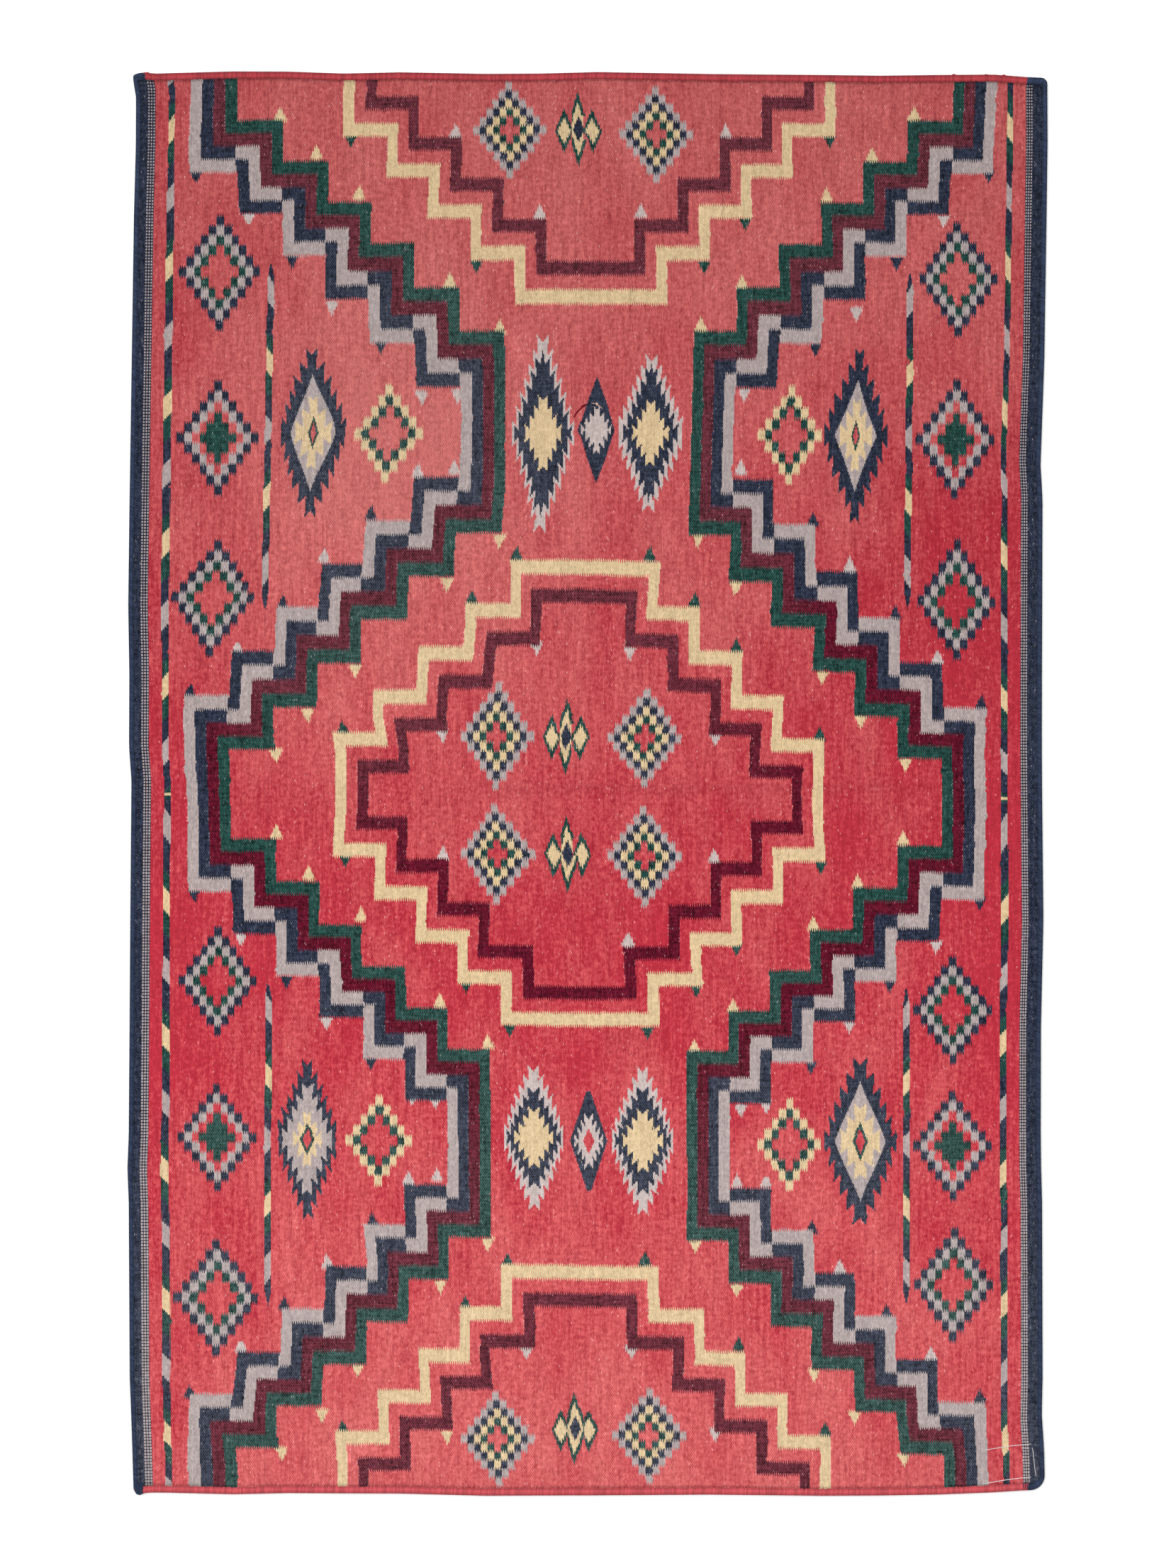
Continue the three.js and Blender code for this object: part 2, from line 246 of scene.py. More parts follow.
def charted(x, y):
    """The place in the chart, across and along, of points of the real cloth."""
    lines = [(-HALF_WIDTH, lay(-HALF_WIDTH, y)[0]), (LEFT_BARBER, lay(LEFT_BARBER, y)[0])]
    for number, line in enumerate(CHARTED_LINES, start=1):
        lines.append((line, line + column(DRIFT, y, number)))
    lines += [(RIGHT_BARBER, lay(RIGHT_BARBER, y)[0]), (HALF_WIDTH, lay(HALF_WIDTH, y)[0])]
    across = np.full(np.shape(x), lines[0][0]) + (x - lines[0][1])
    for (chart_a, real_a), (chart_b, real_b) in zip(lines, lines[1:]):
        between = chart_a + (x - real_a) * (chart_b - chart_a) / (real_b - real_a)
        across = np.where(x >= real_a, between, across)
    left, middle, right = (column(RISE, y, number) for number in (1, 2, 3))
    part = np.clip(x / HALF_WIDTH, -1, 1)
    rise = middle + np.maximum(-part, 0) * (left - middle) + np.maximum(part, 0) * (right - middle)
    return across, y - rise


# ---- The small woven figures -----------------------------------------------------------------

RED, NAVY, GREY, GREEN, MAROON, YELLOW, PALE = range(7)
YARN_NAMES = ("deep_red", "navy", "grey", "green", "maroon", "yellow", "pale_grey")
NONE = RED
UP, DOWN = 1, -1
COLUMN_PAIR = 2.9
FINE = 0.05
MOST_LAYERS = 5
COVERS_NOTHING = (9.0, 9.0, 9.0)
FAR_FROM_FIGURES = 99.0
# How far beyond a figure its faces reach, across and along, and how far below an arrow's foot.
FACE_MARGIN, ARROW_FOOT = (5, 6), -7


class Figure:
    """One kind of small figure. It is made of up to five shapes, each drawn over the last.

    A shape covers the points where its weights times (distance across in whole steps, distance
    along, what is left of the step) come to less than 1. Its steps start where its own phase
    says, and nothing shows further across than limit. How much the cloth's own small teeth show
    is comb, and spread moves the places across, as (real ones, drawn ones).
    """

    def __init__(self, width, height, step, offset, row, layers, lower=1.0):
        self.width, self.height = width, height
        self.step, self.offset, self.row = step, offset, row
        self.layers, self.lower = layers, lower
        self.lean, self.comb, self.limit = 0.0, 1.0, 999.0
        self.phases = [0.0] * len(layers)
        self.spread = None


def checked(check_width, check_height, rings):
    """A diamond of checks in rings of one colour each: rings is {ring number: yarn}."""
    layers = []
    for ring in sorted(rings):
        width, height = (ring + 0.5) * check_width, (ring + 0.5) * check_height
        layers.insert(0, (rings[ring], (1 / width, 1 / height, 0)))
    return Figure(width, height, check_width, check_width / 2, check_height, layers)


def small_figure(width, height, layers, lower=1.0):
    """A figure with straight sides, woven in the finest steps."""
    return Figure(width, height, COLUMN_PAIR / 2, 0, FINE, layers, lower)


def plain_diamond(half_width, half_height):
    """A diamond with straight sides, woven in small steps."""
    return (1 / (half_width + COLUMN_PAIR / 2), 1 / half_height, 0)


class Saw:
    """A diamond whose sides are upright teeth.

    The middle one ends at tip, each further one falls short of the last by fall, and each one's
    outer side stands tooth higher than its inner side. The teeth of an inner saw stand shift
    further out than the outline's.
    """

    def __init__(self, tip, fall, tooth, shift=0.0):
        self.tip, self.fall, self.tooth, self.shift = tip, fall, tooth, shift
        self.half_way = tip - (fall + tooth) / 2

    def weights(self, step):
        height = self.tip - self.tooth
        return (self.fall / (step * height), 1 / height, -self.tooth / (step * height))


LEAN = 0.06
MARGIN, LITTLE_COMB = 3, 0.35


def toothed_figure(edges, *layers):
    """A tall figure of saws and of straight diamonds, each (half width, half height).

    The teeth's outer sides are found at edges from the middle. They lean outward towards the
    figure's two ends.
    """
    outline = next(shape for _, shape in layers if isinstance(shape, Saw))
    step = (edges[-1] - edges[0]) / (len(edges) - 1) + LEAN * outline.fall
    offset = step - edges[0] + LEAN * outline.half_way
    shapes, phases, width, height = [], [], edges[-1], 0.0
    for yarn, shape in layers:
        if isinstance(shape, Saw):
            shapes.append((yarn, shape.weights(step)))
            phases.append(shape.shift + LEAN * (outline.half_way - shape.half_way))
            height = max(height, shape.tip)
        else:
            reach = shape[0] + offset
            shapes.append((yarn, (1 / reach, (shape[0] / shape[1] + LEAN) / reach, 1 / reach)))
            phases.append(0.0)
            width, height = max(width, shape[0]), max(height, shape[1])
    figure = Figure(width + MARGIN, height + MARGIN, step, offset, FINE, shapes)
    figure.phases, figure.lean, figure.comb = phases, LEAN, LITTLE_COMB
    if layers[0][1] is outline:
        figure.limit = edges[-1]
    figure.spread = ((0, *edges), (0, *np.linspace(edges[0], edges[-1], len(edges))))
    return figure


def arrow(yarn):
    """A small arrow head that stands on the edge of a band."""
    return small_figure(7.4, 16.5, [(yarn, (1 / 8.0, 1 / 16.5, 0))], lower=9.0)


RINGS_RED_HEART = {5: NAVY, 4: GREY, 3: GREEN, 2: RED}
RINGS_GREEN_HEART = {5: NAVY, 4: GREY, 3: RED, 2: GREEN}
RINGS_MIDDLE = {5: GREY, 4: NAVY, 3: YELLOW, 2: GREEN, 1: RED}
RINGS_SMALL = {4: YELLOW, 3: GREEN, 2: RED}

WINGED_MIDDLE = small_figure(13, 49, [
    (GREEN, plain_diamond(12.5, 48)), (YELLOW, plain_diamond(8.4, 33.5)),
    (NAVY, (1 / 7.0, 1 / 16.0, 0)),
])
WING = small_figure(11.5, 29, [
    (GREEN, plain_diamond(10.0, 28)), (YELLOW, plain_diamond(6.6, 15.5)),
])

# Width and height of one check.
SIDE_CHECK = (9.45, 13.3)
MIDDLE_CHECK = (8.7, 11.7)
TALL_MIDDLE_CHECK = (8.7, 12.7)
SMALL_CHECK = (9.8, 13.6)

# Figure, then the middle of each one on the rug.
FIGURES = [
    (checked(*SIDE_CHECK, RINGS_RED_HEART), [
        (-480, 668), (-488, 243), (-483, -257.5), (-483, -671),
        (483.5, 658.5), (481, 237), (476.5, -295.5), (477, -654),
    ]),
    (checked(*SIDE_CHECK, RINGS_GREEN_HEART), [
        (-482.5, 451), (-483.5, -461.5), (480.5, 449), (476.5, -473),
    ]),
    (checked(*MIDDLE_CHECK, RINGS_MIDDLE), [
        (-101.5, 853), (89.5, 847), (74.5, 59.5), (-117.5, -91.5), (74.5, -94.5), (-117.5, -855),
        (80, -851),
    ]),
    (checked(*TALL_MIDDLE_CHECK, RINGS_MIDDLE), [(-119, 61.5)]),
    (checked(*SMALL_CHECK, RINGS_SMALL), [
        (-259, 457), (264, 454.5), (-272.5, -465.5), (263.5, -471),
    ]),
    (toothed_figure(
        (6, 15.6, 23.8, 29.6, 35, 40.3), (NAVY, Saw(107.5, 17.2, 10.5)), (GREY, (25.5, 74)),
        (YELLOW, Saw(46.5, 15.8, 8, -1)), (GREEN, (6.3, 22)), (RED, (3.6, 13)),
    ), [(-358, 458)]),
    (toothed_figure(
        (5.6, 12, 20.8, 29.3, 35.4, 40.5), (NAVY, Saw(108.5, 18.4, 10)), (GREY, (25, 69)),
        (YELLOW, Saw(45.5, 15.6, 8, -0.5)), (GREEN, (6, 20)), (RED, (3.6, 12.5)),
    ), [(350, 454)]),
    (toothed_figure(
        (5.9, 13, 19, 25.5, 32.1, 38.3), (NAVY, Saw(109.5, 16.2, 11)),
        (GREY, Saw(76, 15.3, 8, 0.3)), (YELLOW, Saw(38.5, 13.5, 8, -1)), (GREEN, (9.5, 22.4)),
        (RED, (5.9, 14)),
    ), [(-366, -464)]),
    (toothed_figure(
        (8.5, 18.4, 27, 35.2, 41.2, 47.3), (NAVY, Saw(112.6, 19.3, 10.5)), (GREY, (31, 80)),
        (YELLOW, Saw(51, 17.2, 8, -1)), (GREEN, (10, 26.5)), (RED, (6.2, 16.5)),
    ), [(356, -467)]),
    (toothed_figure(
        (7, 11.8, 17.8, 23.4, 29.1, 34.6, 40.4), (PALE, Saw(123.5, 17.7, 9)),
        (NAVY, Saw(95.5, 16.8, 8.5, 2.5)), (NAVY, (16, 106)), (YELLOW, Saw(47.5, 12, 7, -1)),
    ), [(-58, 457)]),
    (toothed_figure(
        (7, 13.2, 18.5, 24.2, 29.8, 36, 41.3), (PALE, Saw(98, 12.6, 8.5)),
        (NAVY, Saw(81, 13.7, 8.5)), (NAVY, (14, 89)), (YELLOW, Saw(41.5, 10.5, 7, -1.5)),
    ), [(82, 457.5)]),
    (toothed_figure(
        (5.8, 12.1, 17.7, 22.9, 27.9, 31.9, 36.2), (PALE, Saw(97.5, 12.9, 9)),
        (NAVY, Saw(69, 11.6, 8, 0.8)), (YELLOW, Saw(41.5, 10.5, 7, 0.3)),
    ), [(-70, -462)]),
    (toothed_figure(
        (5.7, 12, 18.2, 23.8, 28.8, 33, 37), (PALE, Saw(99.5, 13.5, 8.5)),
        (NAVY, Saw(73.5, 12.6, 8, 1)), (YELLOW, Saw(42.5, 10.8, 7, 0.3)),
    ), [(72, -466)]),
    (toothed_figure(
        (3.6, 9.4, 15.2, 18.6), (NAVY, (23.4, 67.5)), (PALE, Saw(30, 7.6, 7)),
    ), [(12, 461.5)]),
    (toothed_figure(
        (5, 8.6, 13, 17), (NAVY, (23, 75.2)), (PALE, Saw(37.6, 9.5, 8.5)), (RED, (7.2, 17.5)),
    ), [(1.5, -466.5)]),
    (WINGED_MIDDLE, [(-12, 854), (-28, 61.5), (-25.5, -91.5), (-16.5, -841)]),
    (WING, [
        (-30.5, 852), (6.5, 852), (-46.5, 60), (-9.5, 60),
        (-44, -93), (-7, -93), (-35, -844), (2, -844),
    ]),
]

# Where the middle of each arrow's foot stands.
ARROWS = {
    (YELLOW, UP): (
        (-401, 865), (-354, 816), (-298.5, 763.5), (-180, 649), (-114, 588), (425.5, 866.5),
        (371, 813), (312, 760.5), (202, 646.5), (148, 591), (-406, -70.5), (-364, -124),
        (-296.5, -178), (-193, -290.5), (-130, -345), (412, -78.5), (352, -136), (294.5, -190.5),
        (190, -297), (139, -351),
    ),
    (YELLOW, DOWN): (
        (-114, 324), (-184, 267.5), (-303, 155), (-365, 97), (-407, 45), (144.5, 326), (193, 265),
        (307, 147), (356.5, 89.5), (415, 32), (-130, -593.5), (-192, -649), (-299.5, -757.5),
        (-346, -817), (-400, -867), (140.5, -595.5), (194, -653), (295, -764), (348, -820),
        (412, -875), (-183.5, -845.5),
    ),
    (GREEN, UP): (
        (-92.5, 292.5), (-151, 235), (-318, 65), (81, 291.5), (139.5, 231.5), (194.5, 172.5),
        (302.5, 57), (-105, -630.5), (-159.5, -685.5), (-319, -848), (74.5, -628.5), (197, -739),
        (310.5, -850),
    ),
    (GREEN, DOWN): (
        (-309, 847), (-145, 683.5), (316, 846), (205.5, 739), (152.5, 682.5), (-316, -92),
        (-159, -258.5), (-101.5, -314), (304, -101), (194, -208.5), (141, -263), (78, -318),
    ),
    (PALE, UP): (
        (-173, 844), (180.5, 844.5), (-62.5, 738.5), (69, 740), (-222, 401), (-174, 404.5),
        (200, 404.5), (-344, 290), (-457, 170), (342.5, 277), (457, 157.5), (-189, -99),
        (165, -102), (53, -211), (-233.5, -522), (-196.5, -517.5), (-339, -632.5), (-453, -741.5),
        (195, -526), (233, -526), (329, -638), (448, -752),
    ),
    (PALE, DOWN): (
        (-443, 744), (-334, 629), (-217, 512), (-170, 514), (465, 740.5), (351, 620.5),
        (205, 515.5), (-66, 184), (55.5, 178.5), (-190, 70), (167.5, 65.5), (-453, -195.5),
        (-341, -305), (-229, -403), (-198.5, -407.5), (455, -206), (341.5, -310.5), (200, -419),
        (233, -414), (-80, -734.5), (57.5, -733), (167, -842),
    ),
    (NAVY, UP): (
        (-283, 345.5), (-398.5, 228.5), (-519, 113), (294, 336), (402, 215), (514, 97),
        (-280, -576), (-396, -687), (-520, -801), (293, -586), (390, -697), (513, -807.5),
    ),
    (NAVY, DOWN): (
        (-512, 800.5), (-385, 689.5), (-270, 578.5), (524, 801), (403, 687), (298, 575),
        (-513, -138), (-393, -251), (-282.5, -357), (511.5, -148.5), (394, -256), (292, -363),
    ),
}


def placed_figures():
    """Every small figure as (figure, middle x, middle y, direction)."""
    placed = [(figure, x, y, UP) for figure, middles in FIGURES for x, y in middles]
    for (yarn, direction), feet in ARROWS.items():
        placed += [(arrow(yarn), x, y, direction) for x, y in feet]
    return placed


# The barber lines: the two heights where they end, their middle or their middle at two heights,
# half their width, the y over which their joints rise to the right (1) or fall (-1), and how far
# the run of colours has come at each y, in repeats. Their ends are points of length BARBER_POINT.
BARBER_POINT = 24.0
BARBER_REPEAT = (
    (YELLOW,) * 3 + (GREEN,) * 3 + (NAVY,) * 3 + (GREY,) * 3 + (NAVY,) * 4 + (GREEN,) * 2
)
BARBER_LINES = [
    {"ends": None, "x": LEFT_BARBER, "half": 5.0, "slant": (-16, 1), "run": (
        (-925, 10.63), (-908, 10.5), (-886, 10.333), (-862, 10.167), (-836, 10.0), (-660, 9.0),
        (-489, 8.0), (-317, 7.0), (-139, 6.0), (-80, 5.70), (-20, 5.42), (-12, 4.92), (22, 4.70),
        (141, 4.0), (330, 3.0), (509, 2.0), (690, 1.0), (868, 0.0), (888, -0.111), (914, -0.333),
        (925, -0.42),
    )},
    {"ends": None, "x": RIGHT_BARBER, "half": 5.0, "slant": (-20, -1), "run": (
        (-925, 10.49), (-900, 10.333), (-875, 10.167), (-841, 10.0), (-666, 9.0), (-495, 8.0),
        (-325, 7.0), (-150, 6.0), (-92, 5.70), (-25, 5.42), (-17, 4.92), (10, 4.70), (124, 4.0),
        (314, 3.0), (500, 2.0), (689, 1.0), (872, 0.0), (903, -0.111), (925, -0.24),
    )},
    {"ends": (223, 684), "x": ((224, -421.5), (684, -412.5)),
     "half": 4.4, "slant": (455, -1), "run": (
        (223, 2.84), (296, 2.52), (389, 2.0), (564, 1.0), (650, 0.53), (684, 0.4),
    )},
    {"ends": (-686, -255), "x": ((-686, -417.5), (-255, -416.5)),
     "half": 4.4, "slant": (-462, -1), "run": (
        (-686, 2.84), (-617, 2.52), (-535, 2.0), (-368, 1.0), (-286, 0.53), (-255, 0.4),
    )},
    {"ends": (224, 670), "x": ((224, 417.0), (670, 421.5)),
     "half": 4.4, "slant": (448, 1), "run": (
        (224, 2.84), (291, 2.52), (382, 2.0), (548, 1.0), (640, 0.53), (670, 0.4),
    )},
    {"ends": (-685, -264), "x": ((-685, 415.5), (-264, 416.5)),
     "half": 4.4, "slant": (-465, 1), "run": (
        (-685, 2.84), (-624, 2.52), (-539, 2.0), (-377, 1.0), (-294, 0.53), (-264, 0.4),
    )},
]


# ---- Nodes and fields ------------------------------------------------------------------------


def plug(tree, value, entry):
    """Gives a node's entry a field, another node's output or a plain value."""
    socket = getattr(value, "socket", value)
    if isinstance(socket, bpy.types.NodeSocket):
        tree.links.new(socket, entry)
    else:
        entry.default_value = value


class Field:
    """A number at every point, as the output of a node."""

    def __init__(self, tree, socket):
        self.tree, self.socket = tree, socket

    def math(self, operation, *others):
        node = self.tree.nodes.new("ShaderNodeMath")
        node.operation = operation
        for entry, value in zip(node.inputs, (self, *others)):
            plug(self.tree, value, entry)
        return Field(self.tree, node.outputs[0])

    def __add__(self, other):
        return self.math("ADD", other)

    def __sub__(self, other):
        return self.math("SUBTRACT", other)

    def __rsub__(self, other):
        return self.math("MULTIPLY_ADD", -1.0, other)

    def __mul__(self, other):
        return self.math("MULTIPLY", other)

    def __truediv__(self, other):
        return self.math("DIVIDE", other)

    __radd__, __rmul__ = __add__, __mul__

    def size(self):
        return self.math("ABSOLUTE")

    def below(self, other):
        """1 where this is less than the other, else 0."""
        return self.math("LESS_THAN", other)

    def above(self, other):
        return self.math("GREATER_THAN", other)

    def least(self, other):
        return self.math("MINIMUM", other)

    def most(self, other):
        return self.math("MAXIMUM", other)

    def ramp(self, count):
        node = self.tree.nodes.new("ShaderNodeValToRGB")
        node.color_ramp.interpolation = "CONSTANT"
        self.tree.links.new(((self + 0.5) / count).socket, node.inputs[0])
        return node

    def looked_up(self, values):
        """values[n] where this is the whole number n."""
        node = self.ramp(len(values))
        highest = max(values)
        fill_ramp(node.color_ramp, [(value / highest,) * 3 for value in values])
        return Field(self.tree, node.outputs["Color"]) * float(highest)

    def coloured(self, colours):
        """The output socket of colours[n] where this is the whole number n."""
        node = self.ramp(len(colours))
        fill_ramp(node.color_ramp, colours)
        return node.outputs["Color"]


def fill_ramp(ramp, colours):
    """Gives a ramp of even steps one stop for each change of colour."""
    ramp.elements[0].color = (*colours[0], 1)
    ramp.elements.remove(ramp.elements[1])
    for number in range(1, len(colours)):
        if colours[number] != colours[number - 1]:
            stop = ramp.elements.new(number / len(colours))
            stop.color = (*colours[number], 1)


class Nodes:
    """Builds a tree one node at a time."""

    def __init__(self, tree):
        self.tree = tree

    def node(self, kind, inputs=(), **properties):
        """A node with its properties set, and its inputs, by name or number, linked or set."""
        node = self.tree.nodes.new(kind)
        for name, value in properties.items():
            setattr(node, name, value)
        for place, value in dict(inputs).items():
            plug(self.tree, value, node.inputs[place])
        return node


class Loom(Nodes):
    """Makes the fields that the chart is read from."""

    def attribute(self, name):
        return self.node("ShaderNodeAttribute", attribute_name=name).outputs["Vector"]

    def uv(self, name):
        return self.node("ShaderNodeUVMap", uv_map=name).outputs["UV"]

    def parts(self, vector):
        outputs = self.node("ShaderNodeSeparateXYZ", {0: vector}).outputs
        return [Field(self.tree, output) for output in outputs]

    def joined(self, x, y, z=0.0):
        return self.node("ShaderNodeCombineXYZ", {0: x, 1: y, 2: z}).outputs[0]

    def dot(self, one, other):
        node = self.node("ShaderNodeVectorMath", {0: one, 1: other}, operation="DOT_PRODUCT")
        return Field(self.tree, node.outputs["Value"])

    def cloth(self):
        """Millimetres across and along the chart."""
        return self.parts(self.uv("cloth"))[:2]

    def place(self):
        """Millimetres across and along the real cloth, from its middle."""
        x, y, _ = self.parts(self.node("ShaderNodeTexCoord").outputs["Object"])
        return x * 1000.0, y * 1000.0

    def noise(self, x, y, detail, roughness=0.5):
        """Smooth noise, centred on 0 and mostly within half of 1."""
        node = self.node("ShaderNodeTexNoise", {
            "Vector": self.joined(x, y), "Scale": 1.0, "Detail": detail, "Roughness": roughness,
        }, noise_dimensions="2D")
        return Field(self.tree, node.outputs["Fac"]) - 0.5

    def random(self, x, y):
        """A random number from 0 to 1 for each place, the same wherever the place is the same."""
        node = self.node(
            "ShaderNodeTexWhiteNoise", {"Vector": self.joined(x, y)}, noise_dimensions="2D",
        )
        return Field(self.tree, node.outputs["Value"])


# ---- The chart -------------------------------------------------------------------------------

MEDALLION_SPACING = 463.0
# Width of a column of floats, length of a float, and height and lean of the teeth along an edge.
COLUMN = COLUMN_PAIR / 2
FLOAT = 4.2
TOOTH, TOOTH_SLANT = 1.9, 0.03

# The stepped bands: how far out the innermost line reaches, from line to line across and along,
# the size of a step, where the steps start, how many there are, and where navy and grey swap.
BAND_REACH, BAND_ACROSS, BAND_ALONG = 462.4, 14.5, 17.6
BAND_STEP_ACROSS, BAND_STEP_ALONG, BAND_START, BAND_STEPS = 56.95, 55.4, 59.0, 6.0
BAND_SWAP = 521.6
# The medallions' lines in the same way, from the outermost in, with where their middle is and
# where they end.
LINE_REACH, LINE_ACROSS, LINE_ALONG = 322.0, 13.7, 17.9
LINE_STEP_ACROSS, LINE_STEP_ALONG, LINE_START = 56.2, 55.15, 82.0
LINE_MIDDLE, LINE_END = -9.9, 303.1
# The side borders: the edges of the navy, then the middle and the pitch of the columns of dots,
# their pitch along, and their size, which grows towards the bottom.
BORDER_LEFT, BORDER_RIGHT = -574.0, 572.0
DOT_COLUMNS = ((-579.2, 3.5), (576.2, 3.1))
DOT_PITCH, DOT_SIZE, DOT_GROWTH = 3.95, 0.66, -9000.0
# The barber lines step with the columns across, and a little less than other edges along. Their
# joints slant by so much of a repeat, and change sides over BARBER_TURN.
BARBER_HALF_WIDTH, BARBER_STEADINESS = 4.6, 400.0
BARBER_SLANT, BARBER_TURN, BARBER_FAR = 0.03, 8, 60


def between_medallions(along):
    """Distance along from the middle of the nearest medallion, half ones at the ends counted."""
    return MEDALLION_SPACING - (along.size() - MEDALLION_SPACING).size()


def stepped_bands(across, along):
    """The five lines of the stepped bands, which part the middle from the side fields."""
    distance, away = between_medallions(along), across.size()
    inside = 0.0
    for band in range(5):
        rise = (distance - (BAND_ALONG * band + BAND_START)) / BAND_STEP_ALONG
        steps = rise.math("CEIL").most(0.0).least(BAND_STEPS)
        reach = BAND_REACH + BAND_ACROSS * band - BAND_STEP_ACROSS * steps
        inside = away.below(reach) + inside
    swapped = ((BAND_SWAP - away) / BAND_STEP_ACROSS).math("FLOOR").math("FLOORED_MODULO", 2.0)
    return (inside + 6.0 * swapped).looked_up(
        (RED, GREY, NAVY, MAROON, GREEN, RED, RED, NAVY, GREY, MAROON, GREEN, RED)
    )


def medallion_lines(across, along):
    """The yellow and the maroon stepped line round each medallion."""
    distance, away = between_medallions(along), (across - LINE_MIDDLE).size()
    inside = 0.0
    for line in range(4):
        rise = distance + LINE_ALONG * line
        steps = ((rise - LINE_START) / LINE_STEP_ALONG).math("CEIL").most(0.0)
        narrow = away.below(LINE_REACH - LINE_ACROSS * line - LINE_STEP_ACROSS * steps)
        inside = narrow * rise.below(LINE_END) + inside
    return inside.looked_up((RED, YELLOW, RED, MAROON, RED))


def small_figures(loom, shift_across, shift_along):
    """Whichever small figure the cloth has there, drawn from the weights kept on its faces."""
    x, y, lower = loom.parts(loom.attribute("figure_place"))
    step, offset, row = loom.parts(loom.attribute("figure_step"))
    lean, comb, limit = loom.parts(loom.attribute("figure_teeth"))
    y = y + shift_along * comb
    y = y.most(y * lower * -1.0)
    x = (x + shift_across).size()
    away = x + offset - y * lean
    rise = (y + row * 0.5).math("SNAP", row) + x.above(limit) * 9999.0
    yarns, phases = (
        loom.parts(loom.attribute(f"{name}_1")) + loom.parts(loom.attribute(f"{name}_2"))
        for name in ("figure_yarns", "figure_phases")
    )
    yarn = 0.0
    for number in range(MOST_LAYERS):
        from_phase = (away - phases[number]).most(0.0)
        whole = from_phase.math("SNAP", step)
        place = loom.joined(whole, rise, from_phase - whole)
        inside = loom.dot(place, loom.attribute(f"figure_shape_{number + 1}")).below(1.0)
        yarn = (yarns[number] - yarn) * inside + yarn
    return yarn


def barber_lines(loom, shift_across, shift_along):
    """The thin lines of changing colours, with slanted joints."""
    x, run, slant = loom.parts(loom.attribute("barber"))
    x = x + shift_across / BARBER_HALF_WIDTH
    run = run - shift_along / BARBER_STEADINESS + x * slant
    part = (run.math("FRACT") * float(len(BARBER_REPEAT))).math("FLOOR")
    return part.looked_up(BARBER_REPEAT) * x.size().below(1.0)


def side_borders(across, along):
    """The navy stripe down each side, with its three columns of grey dots."""
    run = (along / DOT_PITCH).math("FRACT") * 2.0 - 1.0
    size = along / DOT_GROWTH + DOT_SIZE
    dots, stripe = 0.0, across.below(BORDER_LEFT) + across.above(BORDER_RIGHT)
    for middle, pitch in DOT_COLUMNS:
        offset = across - middle
        inside = offset.size().below(pitch * 1.5)
        row = (offset / pitch + 0.5).math("FRACT") * 2.0 - 1.0
        corner = row.size().math("POWER", 3.0) + run.size().math("POWER", 3.0)
        dots = corner.math("POWER", 0.333).below(size) * inside + dots
        stripe = (inside + stripe).least(1.0)
    return stripe * float(NAVY) + dots


def chart(loom, across, along, x, y):
    """The yarn at each point, the columns' own numbers, and where two band yarns meet.

    x and y are the same point on the real cloth. Edges step from column to column there.
    """
    wander = loom.noise(across / 55.0, along / 24.0, 1.0)
    sway = loom.noise(across / 16.0, along / 60.0, 1.0)

    # Across, an edge is moved to the nearest column, or to one beside it where it wanders.
    column_number = (x / COLUMN).math("FLOOR")
    shift_across = (column_number + 0.5 + wander * 2.0).math("FLOOR") * COLUMN + COLUMN / 2 - x

    # Along, the columns take turns to reach up and down, each pair by its own amount.
    pair = x / COLUMN_PAIR + y * TOOTH_SLANT
    reach = loom.random(pair.math("FLOOR"), (along / 11.0).math("FLOOR")) * 0.9 + 0.6
    wave = pair.math("PINGPONG", 0.5) * 8.0 - 2.0
    tooth = wave.most(-1.0).least(1.0) * TOOTH * reach + sway * 3.0
    across_step, along_step = across + shift_across, along + tooth
    yarn, beside = (
        stepped_bands(place, along_step) + medallion_lines(place, along_step)
        for place in (across_step, across_step + COLUMN)
    )
    meeting = (beside - yarn).size().above(0.5)
    for layer in (
        small_figures(loom, shift_across, tooth), side_borders(across, y),
        barber_lines(loom, shift_across, tooth),
    ):
        yarn = yarn + layer * (1.0 - yarn.least(1.0))
    return yarn, column_number, meeting


# ---- The chart's places on the mesh ----------------------------------------------------------


def spread(figure, x):
    """Moves the places across a figure whose teeth are not equally wide."""
    if figure.spread is None:
        return x
    real, drawn = figure.spread
    beyond = np.maximum(np.abs(x) - real[-1], 0)
    return np.sign(x) * (np.interp(np.abs(x), real, drawn) + beyond)


def barber_offset(line, x, y, across):
    """Place across a barber line, 1 at its sides, and the run of its colours."""
    run = np.interp(y, *zip(*line["run"]))
    if line["ends"] is None:
        offset = (across - line["x"]) / line["half"]
    else:
        low, high = line["ends"]
        point = np.clip(np.minimum(y - low, high - y) / BARBER_POINT, 0.02, 1.0)
        offset = (x - np.interp(y, *zip(*line["x"]))) / line["half"] / point
    return np.clip(offset, -BARBER_FAR, BARBER_FAR), run


